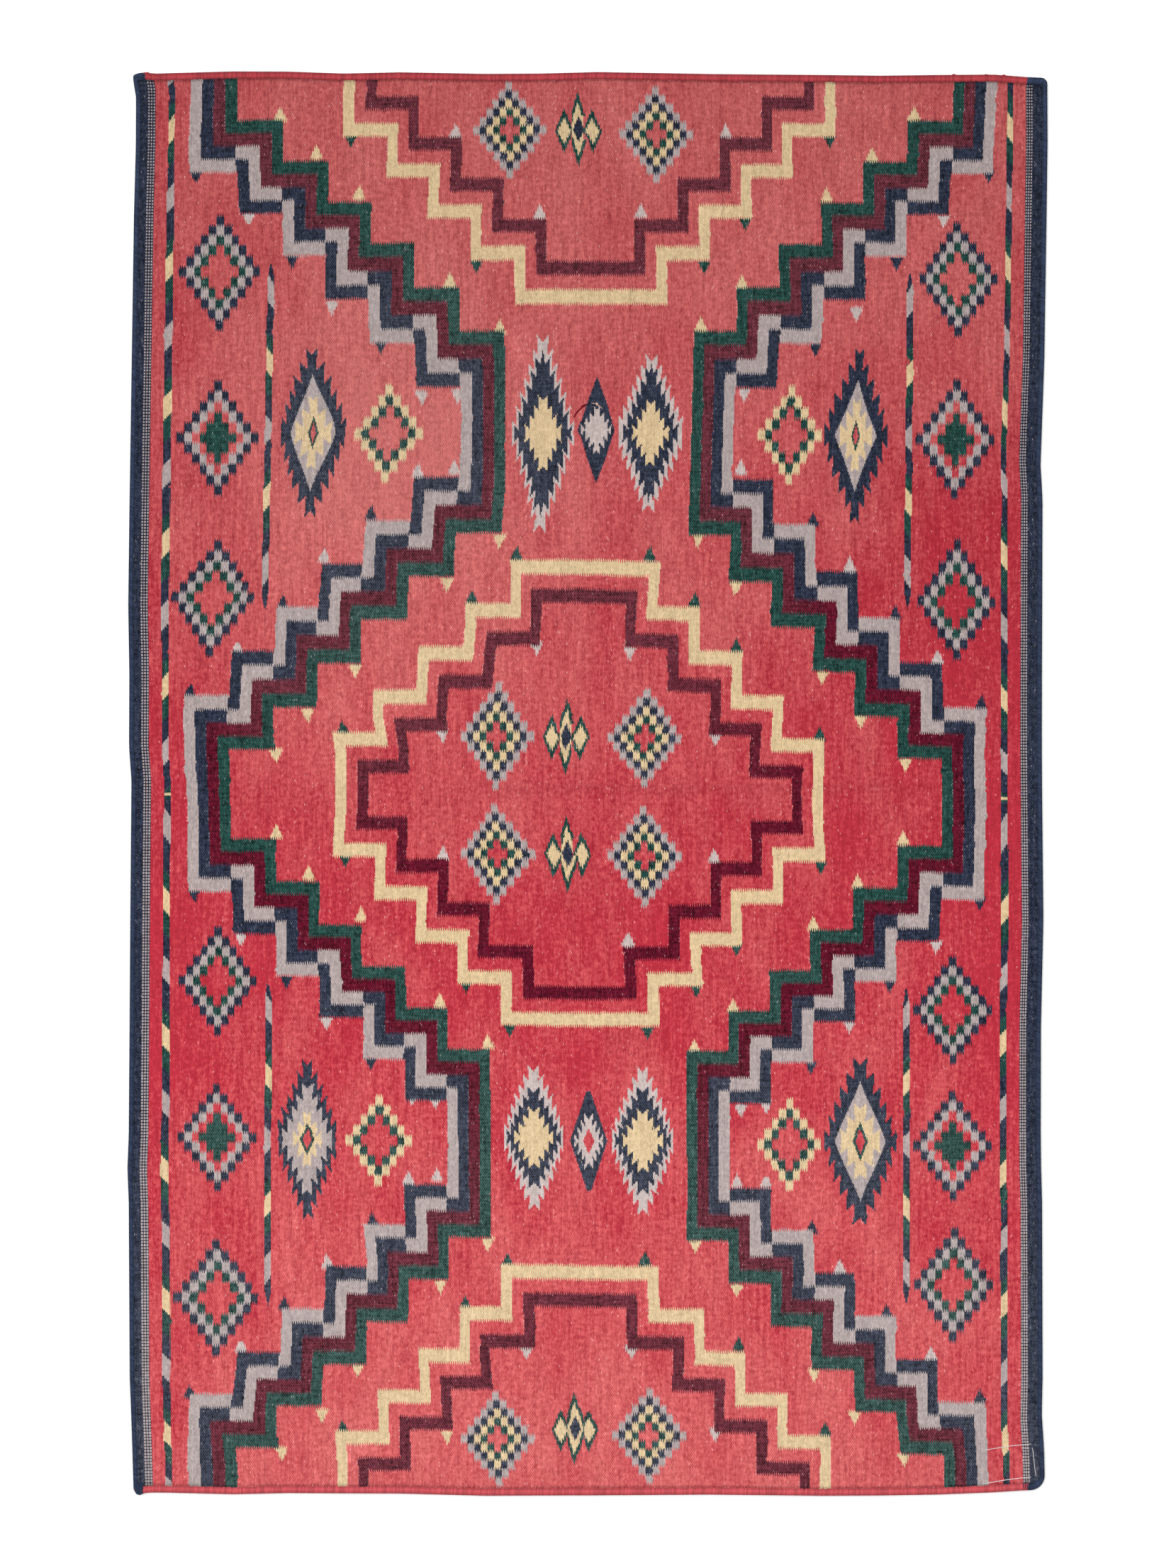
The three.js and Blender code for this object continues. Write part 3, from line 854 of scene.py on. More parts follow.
def figure_tables(placed):
    """One row of weights for each placed figure, and a last row for plain cloth."""
    empty = Figure(0, 0, 1, 1, 1, [])
    empty.lean, empty.comb, empty.limit = 0, 0, 0
    rows = []
    for figure in [figure for figure, _, _, _ in placed] + [empty]:
        yarns = [yarn for yarn, _ in figure.layers] + [NONE] * 6
        phases = figure.phases + [0.0] * 6
        shapes = [weights for _, weights in figure.layers] + [COVERS_NOTHING] * MOST_LAYERS
        rows.append([
            (figure.step, figure.offset, figure.row), (figure.lean, figure.comb, figure.limit),
            yarns[:3], yarns[3:6], phases[:3], phases[3:6], *shapes[:MOST_LAYERS],
        ])
    names = ["step", "teeth", "yarns_1", "yarns_2", "phases_1", "phases_2"]
    names += [f"shape_{number + 1}" for number in range(MOST_LAYERS)]
    tables = np.array(rows, dtype=float).transpose(1, 0, 2)
    return {f"figure_{name}": table for name, table in zip(names, tables)}


def figure_on_faces(placed, middles, across, along):
    """Which figure each face shows, as its row number in the tables, from the faces' middles."""
    owner, nearest = np.full(len(across), len(placed)), np.full(len(across), 1.0)
    for row, (figure, _, _, direction) in enumerate(placed):
        x = across - middles[row, 0]
        y = (along - middles[row, 1]) * direction
        width, height = figure.width + FACE_MARGIN[0], figure.height + FACE_MARGIN[1]
        apart = np.maximum(np.abs(x) / width, np.abs(y) / height)
        if figure.lower > 1:
            apart = np.where(y < ARROW_FOOT, 2.0, apart)
        owner = np.where(apart < nearest, row, owner)
        nearest = np.minimum(apart, nearest)
    return owner


def add_attribute(mesh, name, kind, domain, values):
    field = {"FLOAT_VECTOR": "vector", "FLOAT2": "vector", "FLOAT": "value"}[kind]
    attribute = mesh.attributes.new(name, kind, domain)
    attribute.data.foreach_set(field, np.asarray(values, dtype=np.float32).ravel())


def add_object(name, data):
    obj = bpy.data.objects.new(name, data)
    bpy.context.scene.collection.objects.link(obj)
    return obj


def new_mesh(name, points, faces, edges=()):
    """A mesh object from points in millimetres, with its place in its mesh."""
    mesh = bpy.data.meshes.new(name)
    mesh.from_pydata([tuple(point) for point in np.asarray(points) * MM], edges, faces)
    mesh.update()
    return add_object(name, mesh)


def smooth(obj):
    obj.data.polygons.foreach_set("use_smooth", [True] * len(obj.data.polygons))


# ---- The web ---------------------------------------------------------------------------------

EDGE_LINES = (WEB_INSET, 2.5, 4.6, 6.8, 8.6, 9.6, 10.5, 11.4, 12.6, 15.5, 20.0)
MESH_SPACING = 7.5
# The groove beside each end whipping: how deep, how far from the whipping, and which strip has it.
GROOVE_DEPTH, GROOVE_GAP, GROOVE_STRIP = 0.7, 0.9, 40
MOST_FADED = 1.6


def web_lines(half):
    """Mesh lines in one direction: close together at the edges, even between them."""
    count = round(2 * (half - EDGE_LINES[-1]) / MESH_SPACING)
    even = np.linspace(EDGE_LINES[-1] - half, half - EDGE_LINES[-1], count + 1)
    edge = np.array(EDGE_LINES[:-1])
    return np.concatenate([edge - half, even, (half - edge)[::-1]])


def fade_and_painted_light(x, y, from_end):
    """How bleached the dyes are, painted light on the cloth, painted shade in the end grooves."""
    part_x, part_y = x / HALF_WIDTH, y / HALF_LENGTH
    upper_left = np.exp(-(((x + 250) / 190) ** 2) - ((y - 420) / 260) ** 2)
    upper_right = np.exp(-(((x - 480) / 240) ** 2) - ((y - 220) / 260) ** 2)
    fade = 0.52 + 0.03 * part_x + 0.43 * part_y + 0.39 * part_y**2 - 0.39 * part_y**3
    fade = fade + 0.09 * part_x * part_y + 0.72 * part_x**2 - 1.08 * np.abs(part_x) ** 3
    fade = fade - 0.27 * np.exp(-(((y + 190) / 260) ** 2)) + 0.85 * upper_left - 0.54 * upper_right
    # Painted light: darker towards the top end and at the upper left, lighter towards the bottom;
    # partly the cloth's own tone, partly a painted fall-off of the light.
    light = 0.98 - 0.16 * part_y - 0.06 * part_y**2 + 0.06 * part_y**3 - 0.045 * upper_left
    # Painted shade along the old fold.
    run = smoothstep(x, -230, -100) * (1 - smoothstep(x, 380, 520))
    light = light - 0.05 * np.exp(-(((y - FOLD_Y) / 6.5) ** 2)) * run
    # Painted shade in the groove beside each end whipping.
    groove = np.exp(-(((from_end - END_REACH - GROOVE_GAP) / 1.4) ** 2))
    return np.stack([fade / MOST_FADED, light, groove], axis=-1)


def make_web():
    """The woven cloth: a thin closed sheet, with the places in the chart kept on its faces."""
    x, y = np.meshgrid(web_lines(HALF_WIDTH), web_lines(HALF_LENGTH))
    rows, columns = x.shape
    x, y = (part.ravel() for part in round_corners(x, y))
    away = distance_to_edge(x, y)
    from_end = HALF_LENGTH - np.abs(y)
    groove = GROOVE_DEPTH * np.exp(-((away - END_REACH - GROOVE_GAP) / 1.5) ** 2)
    groove = groove * (from_end < GROOVE_STRIP)
    low = underside(x, y)
    real_x, real_y = lay(x, y)
    top = np.stack([real_x, real_y, low + WEB_THICKNESS - groove], axis=-1)
    bottom = np.stack([real_x, real_y, low], axis=-1)
    count = len(x)

    corner = (np.arange(rows - 1)[:, None] * columns + np.arange(columns - 1)).ravel()
    quad = np.stack([corner, corner + 1, corner + 1 + columns, corner + columns], axis=-1)
    rim = np.concatenate([
        np.arange(columns - 1),
        np.arange(rows - 1) * columns + columns - 1,
        (rows - 1) * columns + np.arange(columns - 1, 0, -1),
        np.arange(rows - 1, 0, -1) * columns,
    ])
    after = np.roll(rim, -1)
    wall = np.stack([rim, after, after + count, rim + count], axis=-1)
    faces = np.concatenate([quad + count, quad[:, ::-1], wall])
    web = new_mesh("woven_web", np.concatenate([bottom, top]), faces.tolist())
    smooth(web)

    on_cloth = faces % count
    across, along = charted(real_x, real_y)
    add_attribute(web.data, "cloth", "FLOAT2", "CORNER", np.stack([across, along], -1)[on_cloth])
    faded_and_lit = fade_and_painted_light(real_x, real_y, from_end)
    add_attribute(web.data, "fade_and_painted_light", "FLOAT_VECTOR", "POINT", np.concatenate([faded_and_lit, faded_and_lit]))
    put_figures(web.data, on_cloth, across, along)
    put_barber_lines(web.data, on_cloth, real_x, real_y, across)
    return web


def put_figures(mesh, on_cloth, across, along):
    """Keeps each small figure's weights on the faces that show it."""
    placed = placed_figures()
    middles = np.array([charted(np.array([x]), np.array([y])) for _, x, y, _ in placed])[:, :, 0]
    owner = figure_on_faces(placed, middles, across[on_cloth].mean(1), along[on_cloth].mean(1))
    for name, table in figure_tables(placed).items():
        add_attribute(mesh, name, "FLOAT_VECTOR", "FACE", table[owner])
    place = np.full((*on_cloth.shape, 3), FAR_FROM_FIGURES)
    for row, (figure, _, _, direction) in enumerate(placed):
        faces = owner == row
        corners = on_cloth[faces]
        place[faces, :, 0] = spread(figure, across[corners] - middles[row, 0])
        place[faces, :, 1] = (along[corners] - middles[row, 1]) * direction
        place[faces, :, 2] = figure.lower
    add_attribute(mesh, "figure_place", "FLOAT_VECTOR", "CORNER", place)


def put_barber_lines(mesh, on_cloth, x, y, across):
    """Keeps the place across and along the nearest barber line on each face."""
    middles = [part[on_cloth].mean(1) for part in (x, y, across)]
    offsets = [np.abs(barber_offset(line, *middles)[0]) for line in BARBER_LINES]
    nearest = np.argmin(offsets, axis=0)
    place = np.zeros((*on_cloth.shape, 3))
    for number, line in enumerate(BARBER_LINES):
        faces = nearest == number
        corners = on_cloth[faces]
        offset, run = barber_offset(line, x[corners], y[corners], across[corners])
        turn, above = line["slant"]
        slant = BARBER_SLANT * above * np.clip((y[corners] - turn) / BARBER_TURN, -1, 1)
        place[faces] = np.stack([offset, run, slant], axis=-1)
    add_attribute(mesh, "barber", "FLOAT_VECTOR", "CORNER", place)


# ---- Materials -------------------------------------------------------------------------------


def linear(red, green, blue):
    """A shader colour from display values of 0 to 255, under this scene's light."""
    values = [value / 255 for value in (red, green, blue)]
    values = [v / 12.92 if v <= 0.04045 else ((v + 0.055) / 1.055) ** 2.4 for v in values]
    return tuple(value / LIGHT_ON_CLOTH for value in values)


class Recipe(Loom):
    """A new material, with the few steps that all the yarns share."""

    def __init__(self, name):
        self.material = bpy.data.materials.new(name)
        self.material.use_nodes = True
        super().__init__(self.material.node_tree)
        self.tree.nodes.clear()
        self.shader = self.node("ShaderNodeBsdfPrincipled", {
            "Roughness": 0.92, "Specular IOR Level": 0.05,
            "Sheen Weight": 0.03, "Sheen Roughness": 0.6,
        })
        self.node("ShaderNodeOutputMaterial", {0: self.shader.outputs[0]})

    def mixed(self, amount, one, other):
        """The colour that is one at amount 0 and the other at amount 1."""
        one, other = ((*value, 1) if isinstance(value, tuple) else value for value in (one, other))
        node = self.node("ShaderNodeMix", {0: amount, 6: one, 7: other}, data_type="RGBA")
        return node.outputs[2]

    def lit(self, colour, amount):
        """A colour made lighter or darker by a field."""
        node = self.node("ShaderNodeVectorMath", {0: colour, "Scale": amount}, operation="SCALE")
        return node.outputs[0]

    def finish(self, colour, height, depth):
        """Ends the material with its colour, and with a bump of so many millimetres."""
        bump = self.node("ShaderNodeBump", {
            "Strength": 0.8, "Distance": depth * MM, "Height": height,
        })
        plug(self.tree, bump.outputs[0], self.shader.inputs["Normal"])
        plug(self.tree, colour, self.shader.inputs["Base Color"])
        return self.material


def woven_wool(colours):
    """The web: the chart in seven yarns, each float of yarn a little unlike the next."""
    recipe = Recipe("woven_wool")
    across, along = recipe.cloth()
    x, y = recipe.place()
    yarn, column_number, meeting = chart(recipe, across, along, x, y)
    # fade is the dyes' bleaching, light the painted light over the cloth, and groove the painted
    # shade in the groove beside the ends.
    fade, light, groove = recipe.parts(recipe.attribute("fade_and_painted_light"))

    # Each column's floats lie half a float higher than the next column's, as bricks do.
    row = y / FLOAT + column_number * 0.5 + 0.5
    row_number = row.math("FLOOR")
    over = (x / COLUMN).math("FRACT") * 2.0 - 1.0
    along_float = row.math("FRACT") * 2.0 - 1.0
    pillow = (1.0 - over * over) * (1.0 - (along_float * along_float).math("POWER", 2.0))
    grain = (x * (math.pi / COLUMN)).math("SINE") * (y * (2 * math.pi / FLOAT)).math("COSINE")
    one = recipe.random(column_number, row_number)
    other = recipe.random(row_number + 0.37, column_number + 91.7)
    length = recipe.random(column_number, (y / 38.0).math("FLOOR"))
    column_own = recipe.random(column_number, 7.0)
    coarse = recipe.noise(x / 70.0, y / 150.0, 3.0)
    streak = recipe.noise(x / 4.4, y / 60.0, 2.0)
    mottle = recipe.noise(x / 9.0, y / 5.0, 3.0, 0.6)
    hair = recipe.noise(x * 1.1, y / 2.2, 2.0, 0.7)
    patch = recipe.noise(column_number / 9.0, row_number / 4.0, 1.0)
    dash = recipe.noise(x / 24.0, y / 2.4, 1.0)

    is_red = yarn.below(0.5)
    is_grey, is_maroon = ((yarn - float(number)).size().below(0.5) for number in (GREY, MAROON))
    is_pale = is_grey + yarn.above(float(MAROON) + 0.5)
    is_dark = 1.0 - is_red - is_pale
    faded = fade + coarse * 0.7 + streak * 0.35 + mottle * 0.5 + one * 0.24 - 0.12
    faded = faded.most(0.0).least(1.0)
    # The red takes the painted light here, and again below with the other yarns.
    red = recipe.lit(recipe.mixed(faded, colours["deep_red"], colours["faded_red"]), light)

    # The dark dyes have paled at the lower end and upper left, and the maroon at both ends.
    paled = (fade * MOST_FADED - 0.3) * (is_maroon * 0.03 + 0.05)
    # The dark dyes also pale a little more under brighter painted light, and less under darker.
    paled = paled + (light - 0.98) * 0.25 * (1.0 - is_maroon * 0.6)
    fuzz = one * other * 0.022 * (1.0 - is_maroon * 0.5)
    plain = yarn.coloured([colours[name] for name in YARN_NAMES])
    plain = recipe.mixed(paled.most(0.0).least(0.02) + fuzz, plain, (1.0, 1.0, 1.0))
    colour = recipe.mixed(is_red, plain, red)

    # The pale warp peeps through in flecks: in chains along a few columns, and where yarns meet.
    chain = (column_own - 0.80).most(0.0) * 0.9 * (patch * 2.0 + 0.4).most(0.0)
    often = chain * is_red + is_dark * (patch * 0.4 - 0.01).most(0.0) + meeting * 0.40
    fleck = one.above(0.996 - often) * (other * 0.40 + 0.15) * (1.0 - is_dark * 0.6)
    middle = (1.0 - over * over) * (1.0 - along_float * along_float * 2.5).most(0.0)
    colour = recipe.mixed(fleck * middle, colour, colours["fleck"])
    colour = recipe.mixed(other.above(0.7) * is_grey * 0.12, colour, colours["grey_tip"])

    # Short rows of darker red, where a darker batch of yarn was beaten in.
    dark_row = (dash * 5.0 - 0.9).most(0.0).least(1.0) * is_red * (coarse * 2.0 + 0.45).most(0.0)

    tone = one * 0.20 + other * 0.10 + length * 0.08 + hair * 0.8 + streak * 0.35 + mottle * 0.45
    # Painted shade and highlight on each float's rounded form: lighter on its crest, darker in the
    # gaps between floats, half as strong on the pale yarns.
    rounded = (grain * 0.18 + pillow * 0.18 - 0.12) * (1.0 - is_pale * 0.5) + 0.97
    shade = rounded * (tone + 0.83) * (1.0 - dark_row * 0.25)
    shade = shade + ((shade - 1.0) * 1.4 + dash) * is_dark
    # Painted light over the cloth, and painted shade in the groove beside the ends, stronger along
    # most of each float.
    stitch = (x / FLOAT).math("FRACT").below(0.62) * 0.2 + 0.25
    shade = shade * light * (1.0 - groove * stitch)
    height = grain * 0.35 + pillow * 0.5 + hair
    return recipe.finish(recipe.lit(colour, shade), height, 0.5)


def whipping_wool(name, colour, pale, dark, length=0.0):
    """Plied yarn. Each turn keeps its own shade of colour, and has painted shade where it turns
    down.
    """
    recipe = Recipe(name)
    around, along, _ = recipe.parts(recipe.uv("yarn"))
    shade, _, _ = recipe.parts(recipe.attribute("shade"))
    # The plies' twist, as a bump and as painted shade in the stripes between the plies.
    ply = ((around * 2.0 + along / 3.4 + shade * 5.0).math("PINGPONG", 0.5) * 2.0).most(0.0)
    fuzz = recipe.noise(around * 9.0 + shade * 40.0, along * 1.3 + shade * 17.0, 3.0, 0.7)
    base = recipe.mixed(shade, dark, pale)
    base = recipe.mixed(0.35, base, colour)
    tone = ply * 0.16 + fuzz * 0.9 + 0.90
    # Painted shade where the turn goes down round the cloth's edges, and a painted highlight along
    # its crests.
    if length:
        down = 1.0 - (along * (4.0 / length)).math("PINGPONG", 1.0)
        tone = tone * (1.22 - down * 0.70)
    return recipe.finish(recipe.lit(base, tone), ply + fuzz, 0.3)


# ---- The whipped edges -----------------------------------------------------------------------

YARN_WIDTH, YARN_HEIGHT = 2.9, 1.1
TURN_POINTS, TURN_SIDES = 16, 6
# 1 makes a turn an ellipse, and less makes it more of a box.
TURN_ROUNDNESS = 0.62
# Length of yarn between a turn's last point and its first.
CLOSING_STEP = 2.0
# How far each red turn leans, and what each whipping adds to the seed.
RED_SLANT = 0.8
SEEDS = {"top": 0, "bottom": 10, "left": 50, "right": 60}
# How far from the ends the sides' paths are straight, and how many points the paths have there.
STRAIGHT_FROM, SIDE_POINTS, END_POINTS = 26, 150, 140


def corner_path(side_x, side_y, going_out):
    """The rug's outer edge round one corner, from the side to where the navy wrap ends."""
    radius, wrap = CORNERS[side_x, side_y]
    turn = np.radians(np.arange(0, 91, 15))
    straight = HALF_WIDTH - np.append(np.arange(radius + 2, wrap, 2.5), wrap)
    x = np.append(HALF_WIDTH - radius + radius * np.cos(turn), straight)
    y = np.append(HALF_LENGTH - radius + radius * np.sin(turn), np.full(len(straight), HALF_LENGTH))
    points = np.stack([side_x * x, side_y * y], axis=-1).tolist()
    return points if going_out else points[::-1]


def side_path(side_x):
    """The path of a side's navy whipping, anticlockwise, with each point's stitch depth."""
    first, last = (-1, 1) if side_x > 0 else (1, -1)
    reach = HALF_LENGTH - STRAIGHT_FROM
    steps = np.linspace(first * reach, last * reach, SIDE_POINTS)
    points = corner_path(side_x, first, False) + [(side_x * HALF_WIDTH, y) for y in steps]
    points += corner_path(side_x, last, True)
    x, y = np.array(points).T
    on_end = smoothstep(-np.abs(x), -HALF_WIDTH, 8 - HALF_WIDTH)
    return x, y, SIDE_REACH + (END_REACH - SIDE_REACH) * on_end


def end_path(side_y):
    """The path of an end's red whipping, anticlockwise, between the two navy corners."""
    left = -HALF_WIDTH + CORNERS[-1, side_y][1] + YARN_WIDTH / 2
    right = HALF_WIDTH - CORNERS[1, side_y][1] - YARN_WIDTH / 2
    x = np.linspace(left, right, END_POINTS)[:: -side_y]
    return x, np.full(len(x), side_y * HALF_LENGTH), np.full(len(x), END_REACH)


def path_object(name, x, y, depth):
    """A line of mesh edges on the rug's edge, which carries the stitch depth in millimetres."""
    points = np.stack([*lay(x, y), lift(x, y)], axis=-1)
    obj = new_mesh(name, points, [], [(i, i + 1) for i in range(len(points) - 1)])
    add_attribute(obj.data, "depth", "FLOAT", "POINT", depth)
    return obj


def tube(centres, sideways, outward, width, height, closed):
    """Points, faces and (around, along) places of a yarn with a flattened section."""
    count, sides = len(centres), range(TURN_SIDES)
    angles = np.linspace(0, 2 * math.pi, TURN_SIDES, endpoint=False)[None, :, None]
    width, height = (np.reshape(size, (-1, 1, 1)) / 2 for size in (width, height))
    ring = np.cos(angles) * sideways[:, None, :] * width
    ring = ring + np.sin(angles) * outward[:, None, :] * height
    points = (centres[:, None, :] + ring).reshape(-1, 3)
    run = np.concatenate([[0], np.cumsum(np.linalg.norm(np.diff(centres, axis=0), axis=1))])

    def at(i, j):
        return i * TURN_SIDES + j % TURN_SIDES

    faces, places = [], []
    for i in range(count if closed else count - 1):
        after = (i + 1) % count
        end = run[after] if after else run[-1] + CLOSING_STEP
        for j in sides:
            faces.append([at(i, j), at(i, j + 1), at(after, j + 1), at(after, j)])
            u0, u1 = j / TURN_SIDES, (j + 1) / TURN_SIDES
            places += [(u0, run[i]), (u1, run[i]), (u1, end), (u0, end)]
    if not closed:
        faces += [[at(0, j) for j in reversed(sides)], [at(count - 1, j) for j in sides]]
        places += [(j / TURN_SIDES, 0.0) for j in reversed(sides)]
        places += [(j / TURN_SIDES, run[-1]) for j in sides]
    return points, faces, places


def unit(vectors):
    return vectors / np.linalg.norm(vectors, axis=1)[:, None]


def turn_object(name, depth, slant):
    """One turn of whipping yarn round the cloth's edge: X along the edge, Y into the cloth."""
    turn = np.linspace(0, 2 * math.pi, TURN_POINTS, endpoint=False)
    y, z = (np.sign(p) * np.abs(p) ** TURN_ROUNDNESS for p in (np.cos(turn), np.sin(turn)))
    middle_y, middle_z = depth / 2, CROWN / 2
    y = middle_y - y * (depth - YARN_HEIGHT) / 2
    z = middle_z + z * (CROWN - YARN_HEIGHT) / 2
    x = slant * (z - middle_z) / CROWN * 2 * (y - middle_y) / depth
    centres = np.stack([x, y, z], axis=-1)
    ahead = np.roll(centres, -1, axis=0) - np.roll(centres, 1, axis=0)
    sideways = np.tile([1.0, 0, 0], (TURN_POINTS, 1))
    outward = unit(np.cross(ahead, sideways))
    points, faces, places = tube(centres, sideways, outward, YARN_WIDTH, YARN_HEIGHT, closed=True)
    obj = new_mesh(name, points, faces)
    add_attribute(obj.data, "yarn", "FLOAT2", "CORNER", places)
    return obj


class EdgeNodes(Nodes):
    """A Geometry Nodes tree with named inputs and one result."""

    def __init__(self, name, inputs):
        super().__init__(bpy.data.node_groups.new(name, "GeometryNodeTree"))
        self.named = {}
        for label, kind in inputs:
            socket = self.add_socket(label, "INPUT", kind)
            self.named[label] = socket.identifier
        self.add_socket("Result", "OUTPUT", "Geometry")
        self.entry = self.node("NodeGroupInput")

    def add_socket(self, label, side, kind):
        return self.tree.interface.new_socket(
            label, in_out=side, socket_type=f"NodeSocket{kind}",
        )

    def outer(self, label):
        return self.entry.outputs[label]

    def chance(self, number):
        """A random field from 0 to 1, with a seed of its own."""
        seed = Field(self.tree, self.outer("Seed")) + number
        node = self.node("FunctionNodeRandomValue", {"Seed": seed}, data_type="FLOAT")
        return Field(self.tree, node.outputs[1])

    def between(self, number, low, high):
        """A random field between two values, and further apart where looseness is over 1."""
        loose = (self.chance(number) - 0.5) * self.outer("Looseness")
        return loose.math("MULTIPLY_ADD", high - low, (high + low) / 2)


def whipping_tree():
    """Lays a turn of yarn at every pitch along a path, and sinks it to the stitch depth."""
    tree = EdgeNodes("whipped_edge", (
        ("Path", "Geometry"), ("Turn", "Object"), ("Turn Depth", "Float"), ("Pitch", "Float"),
        ("Looseness", "Float"), ("Seed", "Int"), ("Yarn", "Material"),
    ))
    curve = tree.node("GeometryNodeMeshToCurve", {"Mesh": tree.outer("Path")})
    even = tree.node(
        "GeometryNodeResampleCurve", {"Curve": curve.outputs[0], "Length": tree.outer("Pitch")},
        mode="LENGTH",
    )
    turn = tree.node("GeometryNodeObjectInfo", {"Object": tree.outer("Turn")})
    tangent = tree.node("GeometryNodeInputTangent")
    aligned = tree.node(
        "FunctionNodeAlignRotationToVector", {"Vector": tangent.outputs[0]},
        axis="X", pivot_axis="Z",
    )
    twist = tree.node("FunctionNodeAxisAngleToRotation", {
        "Axis": (0, 0, 1), "Angle": tree.between(0, -0.035, 0.035),
    })
    turned = tree.node(
        "FunctionNodeRotateRotation",
        {"Rotation": aligned.outputs[0], "Rotate By": twist.outputs[0]}, rotation_space="LOCAL",
    )
    depth = tree.node("GeometryNodeInputNamedAttribute", {"Name": "depth"}, data_type="FLOAT")
    stretch = Field(tree.tree, depth.outputs[0]) / tree.outer("Turn Depth")
    size = tree.node("ShaderNodeCombineXYZ", {
        "X": tree.between(1, 0.92, 1.12), "Y": stretch * tree.between(2, 0.96, 1.05), "Z": 1.0,
    })
    placed = tree.node("GeometryNodeInstanceOnPoints", {
        "Points": even.outputs[0], "Instance": turn.outputs["Geometry"],
        "Rotation": turned.outputs[0], "Scale": size.outputs[0],
    })
    shaded = tree.node(
        "GeometryNodeStoreNamedAttribute",
        {"Geometry": placed.outputs[0], "Name": "shade", "Value": tree.chance(3)},
        data_type="FLOAT", domain="INSTANCE",
    )
    real = tree.node("GeometryNodeRealizeInstances", {"Geometry": shaded.outputs[0]})
    soft = tree.node("GeometryNodeSetShadeSmooth", {"Geometry": real.outputs[0]})
    finished = tree.node(
        "GeometryNodeSetMaterial", {"Geometry": soft.outputs[0], "Material": tree.outer("Yarn")},
    )
    tree.node("NodeGroupOutput", {0: finished.outputs[0]})
    return tree


def whip(name, path, turn, depth, pitch, looseness, seed, yarn):
    """Whips an edge with turns of yarn, and returns it as one plain mesh."""
    tree = whipping_tree()
    holder = path_object(f"{name}_path", *path)
    modifier = holder.modifiers.new("whipping", "NODES")
    modifier.node_group = tree.tree
    for label, value in (
        ("Turn", turn), ("Turn Depth", depth), ("Pitch", pitch * MM),
        ("Looseness", looseness), ("Seed", seed), ("Yarn", yarn),
    ):
        modifier[tree.named[label]] = value
    depsgraph = bpy.context.evaluated_depsgraph_get()
    mesh = bpy.data.meshes.new_from_object(holder.evaluated_get(depsgraph), depsgraph=depsgraph)
    mesh.name = name
    if not mesh.polygons:
        raise RuntimeError(f"{name} came out empty")
    bpy.data.objects.remove(holder)
    bpy.data.node_groups.remove(tree.tree)
    return add_object(name, mesh)


# ---- Loose yarns and stitches ----------------------------------------------------------------

LOOSE_FLATNESS = 0.8
STRAND_SEED = 1


def curve_through(points, count):
    """A smooth run of points through a few given ones."""
    points = np.array(points, dtype=float)
    padded = np.concatenate([[2 * points[0] - points[1]], points, [2 * points[-1] - points[-2]]])
    places = np.linspace(0, len(points) - 1 - 1e-9, count)
    whole = places.astype(int)
    t = (places - whole)[:, None]
    a, b, c, d = (padded[whole + offset] for offset in range(4))
    squared, cubed = 2 * a - 5 * b + 4 * c - d, 3 * b - a - 3 * c + d
    return 0.5 * (2 * b + (c - a) * t + squared * t**2 + cubed * t**3)


def strand(places, thickness, count=14, taper=0.25):
    """A loose yarn lying on the rug: (x, y, height over it) points, thinner at its ends."""
    centres = curve_through(places, count)
    centres[:, 2] += top_of_rug(centres[:, 0], centres[:, 1])
    ahead = unit(np.gradient(centres, axis=0))
    sideways = unit(np.cross(ahead, [0.0, 0.02, 1.0]))
    outward = np.cross(sideways, ahead)
    run = np.linspace(0, 1, count)
    full = thickness * (taper + (1 - taper) * np.clip(np.minimum(run, 1 - run) * 8, 0, 1) ** 0.5)
    return tube(centres, -sideways, outward, full, full * LOOSE_FLATNESS, closed=False)


def strands_object(name, strands, material):
    """One mesh of several loose yarns, each with its own shade."""
    points, faces, places, shades = [], [], [], []
    chance = np.random.default_rng(STRAND_SEED)
    for these_points, these_faces, these_places in strands:
        start = len(points)
        points += list(these_points)
        faces += [[start + i for i in face] for face in these_faces]
        places += these_places
        shades += [chance.random()] * len(these_points)
    obj = new_mesh(name, points, faces)
    add_attribute(obj.data, "yarn", "FLOAT2", "CORNER", places)
    add_attribute(obj.data, "shade", "FLOAT", "POINT", shades)
    smooth(obj)
    obj.data.materials.append(material)
    return obj


def laid(*rows):
    """Loose yarns, each from its places, its thickness and its number of points."""
    return [strand(*row) for row in rows]


def navy_ends():
    """The ear at the upper left corner, the point at the lower left, and three dark stitches."""
    strands = []
    for step in np.arange(6) / 5:
        strands.append(strand((
            (-577.5 - 1.5 * step, 926.2 - 7.5 * step, 0.2), (-585.5, 924.4 - 4.0 * step, 0.7),
            (-591.2 + 1.6 * step, 921.4 - 1.2 * step, 0.5), (-590.0 + 2.2 * step, 915.0, 0.6),
            (-588.6 + 3.2 * step, 905.0 - 1.5 * step, 0.1),
        ), 2.2, 18))
    for part in np.arange(7) / 3 - 1:
        strands.append(strand((
            (-585.5 + 4.6 * part, -911.5, 0.1), (-585.5 + 4.9 * part, -917.0, 0.7),
            (-585.6 + 3.6 * part, -923.0, 0.5),
            (-585.6 + 1.2 * part, -928.6 + 1.1 * abs(part), 0.6),
        ), 2.0))
    for x in (568.4, 570.9, 573.6):
        places = (x - 0.4, -911.6, 0.1), (x, -915.5, 0.4), (x + 0.5, -920.4, 0.3)
        strands.append(strand(places, 0.9, 8))
    return strands


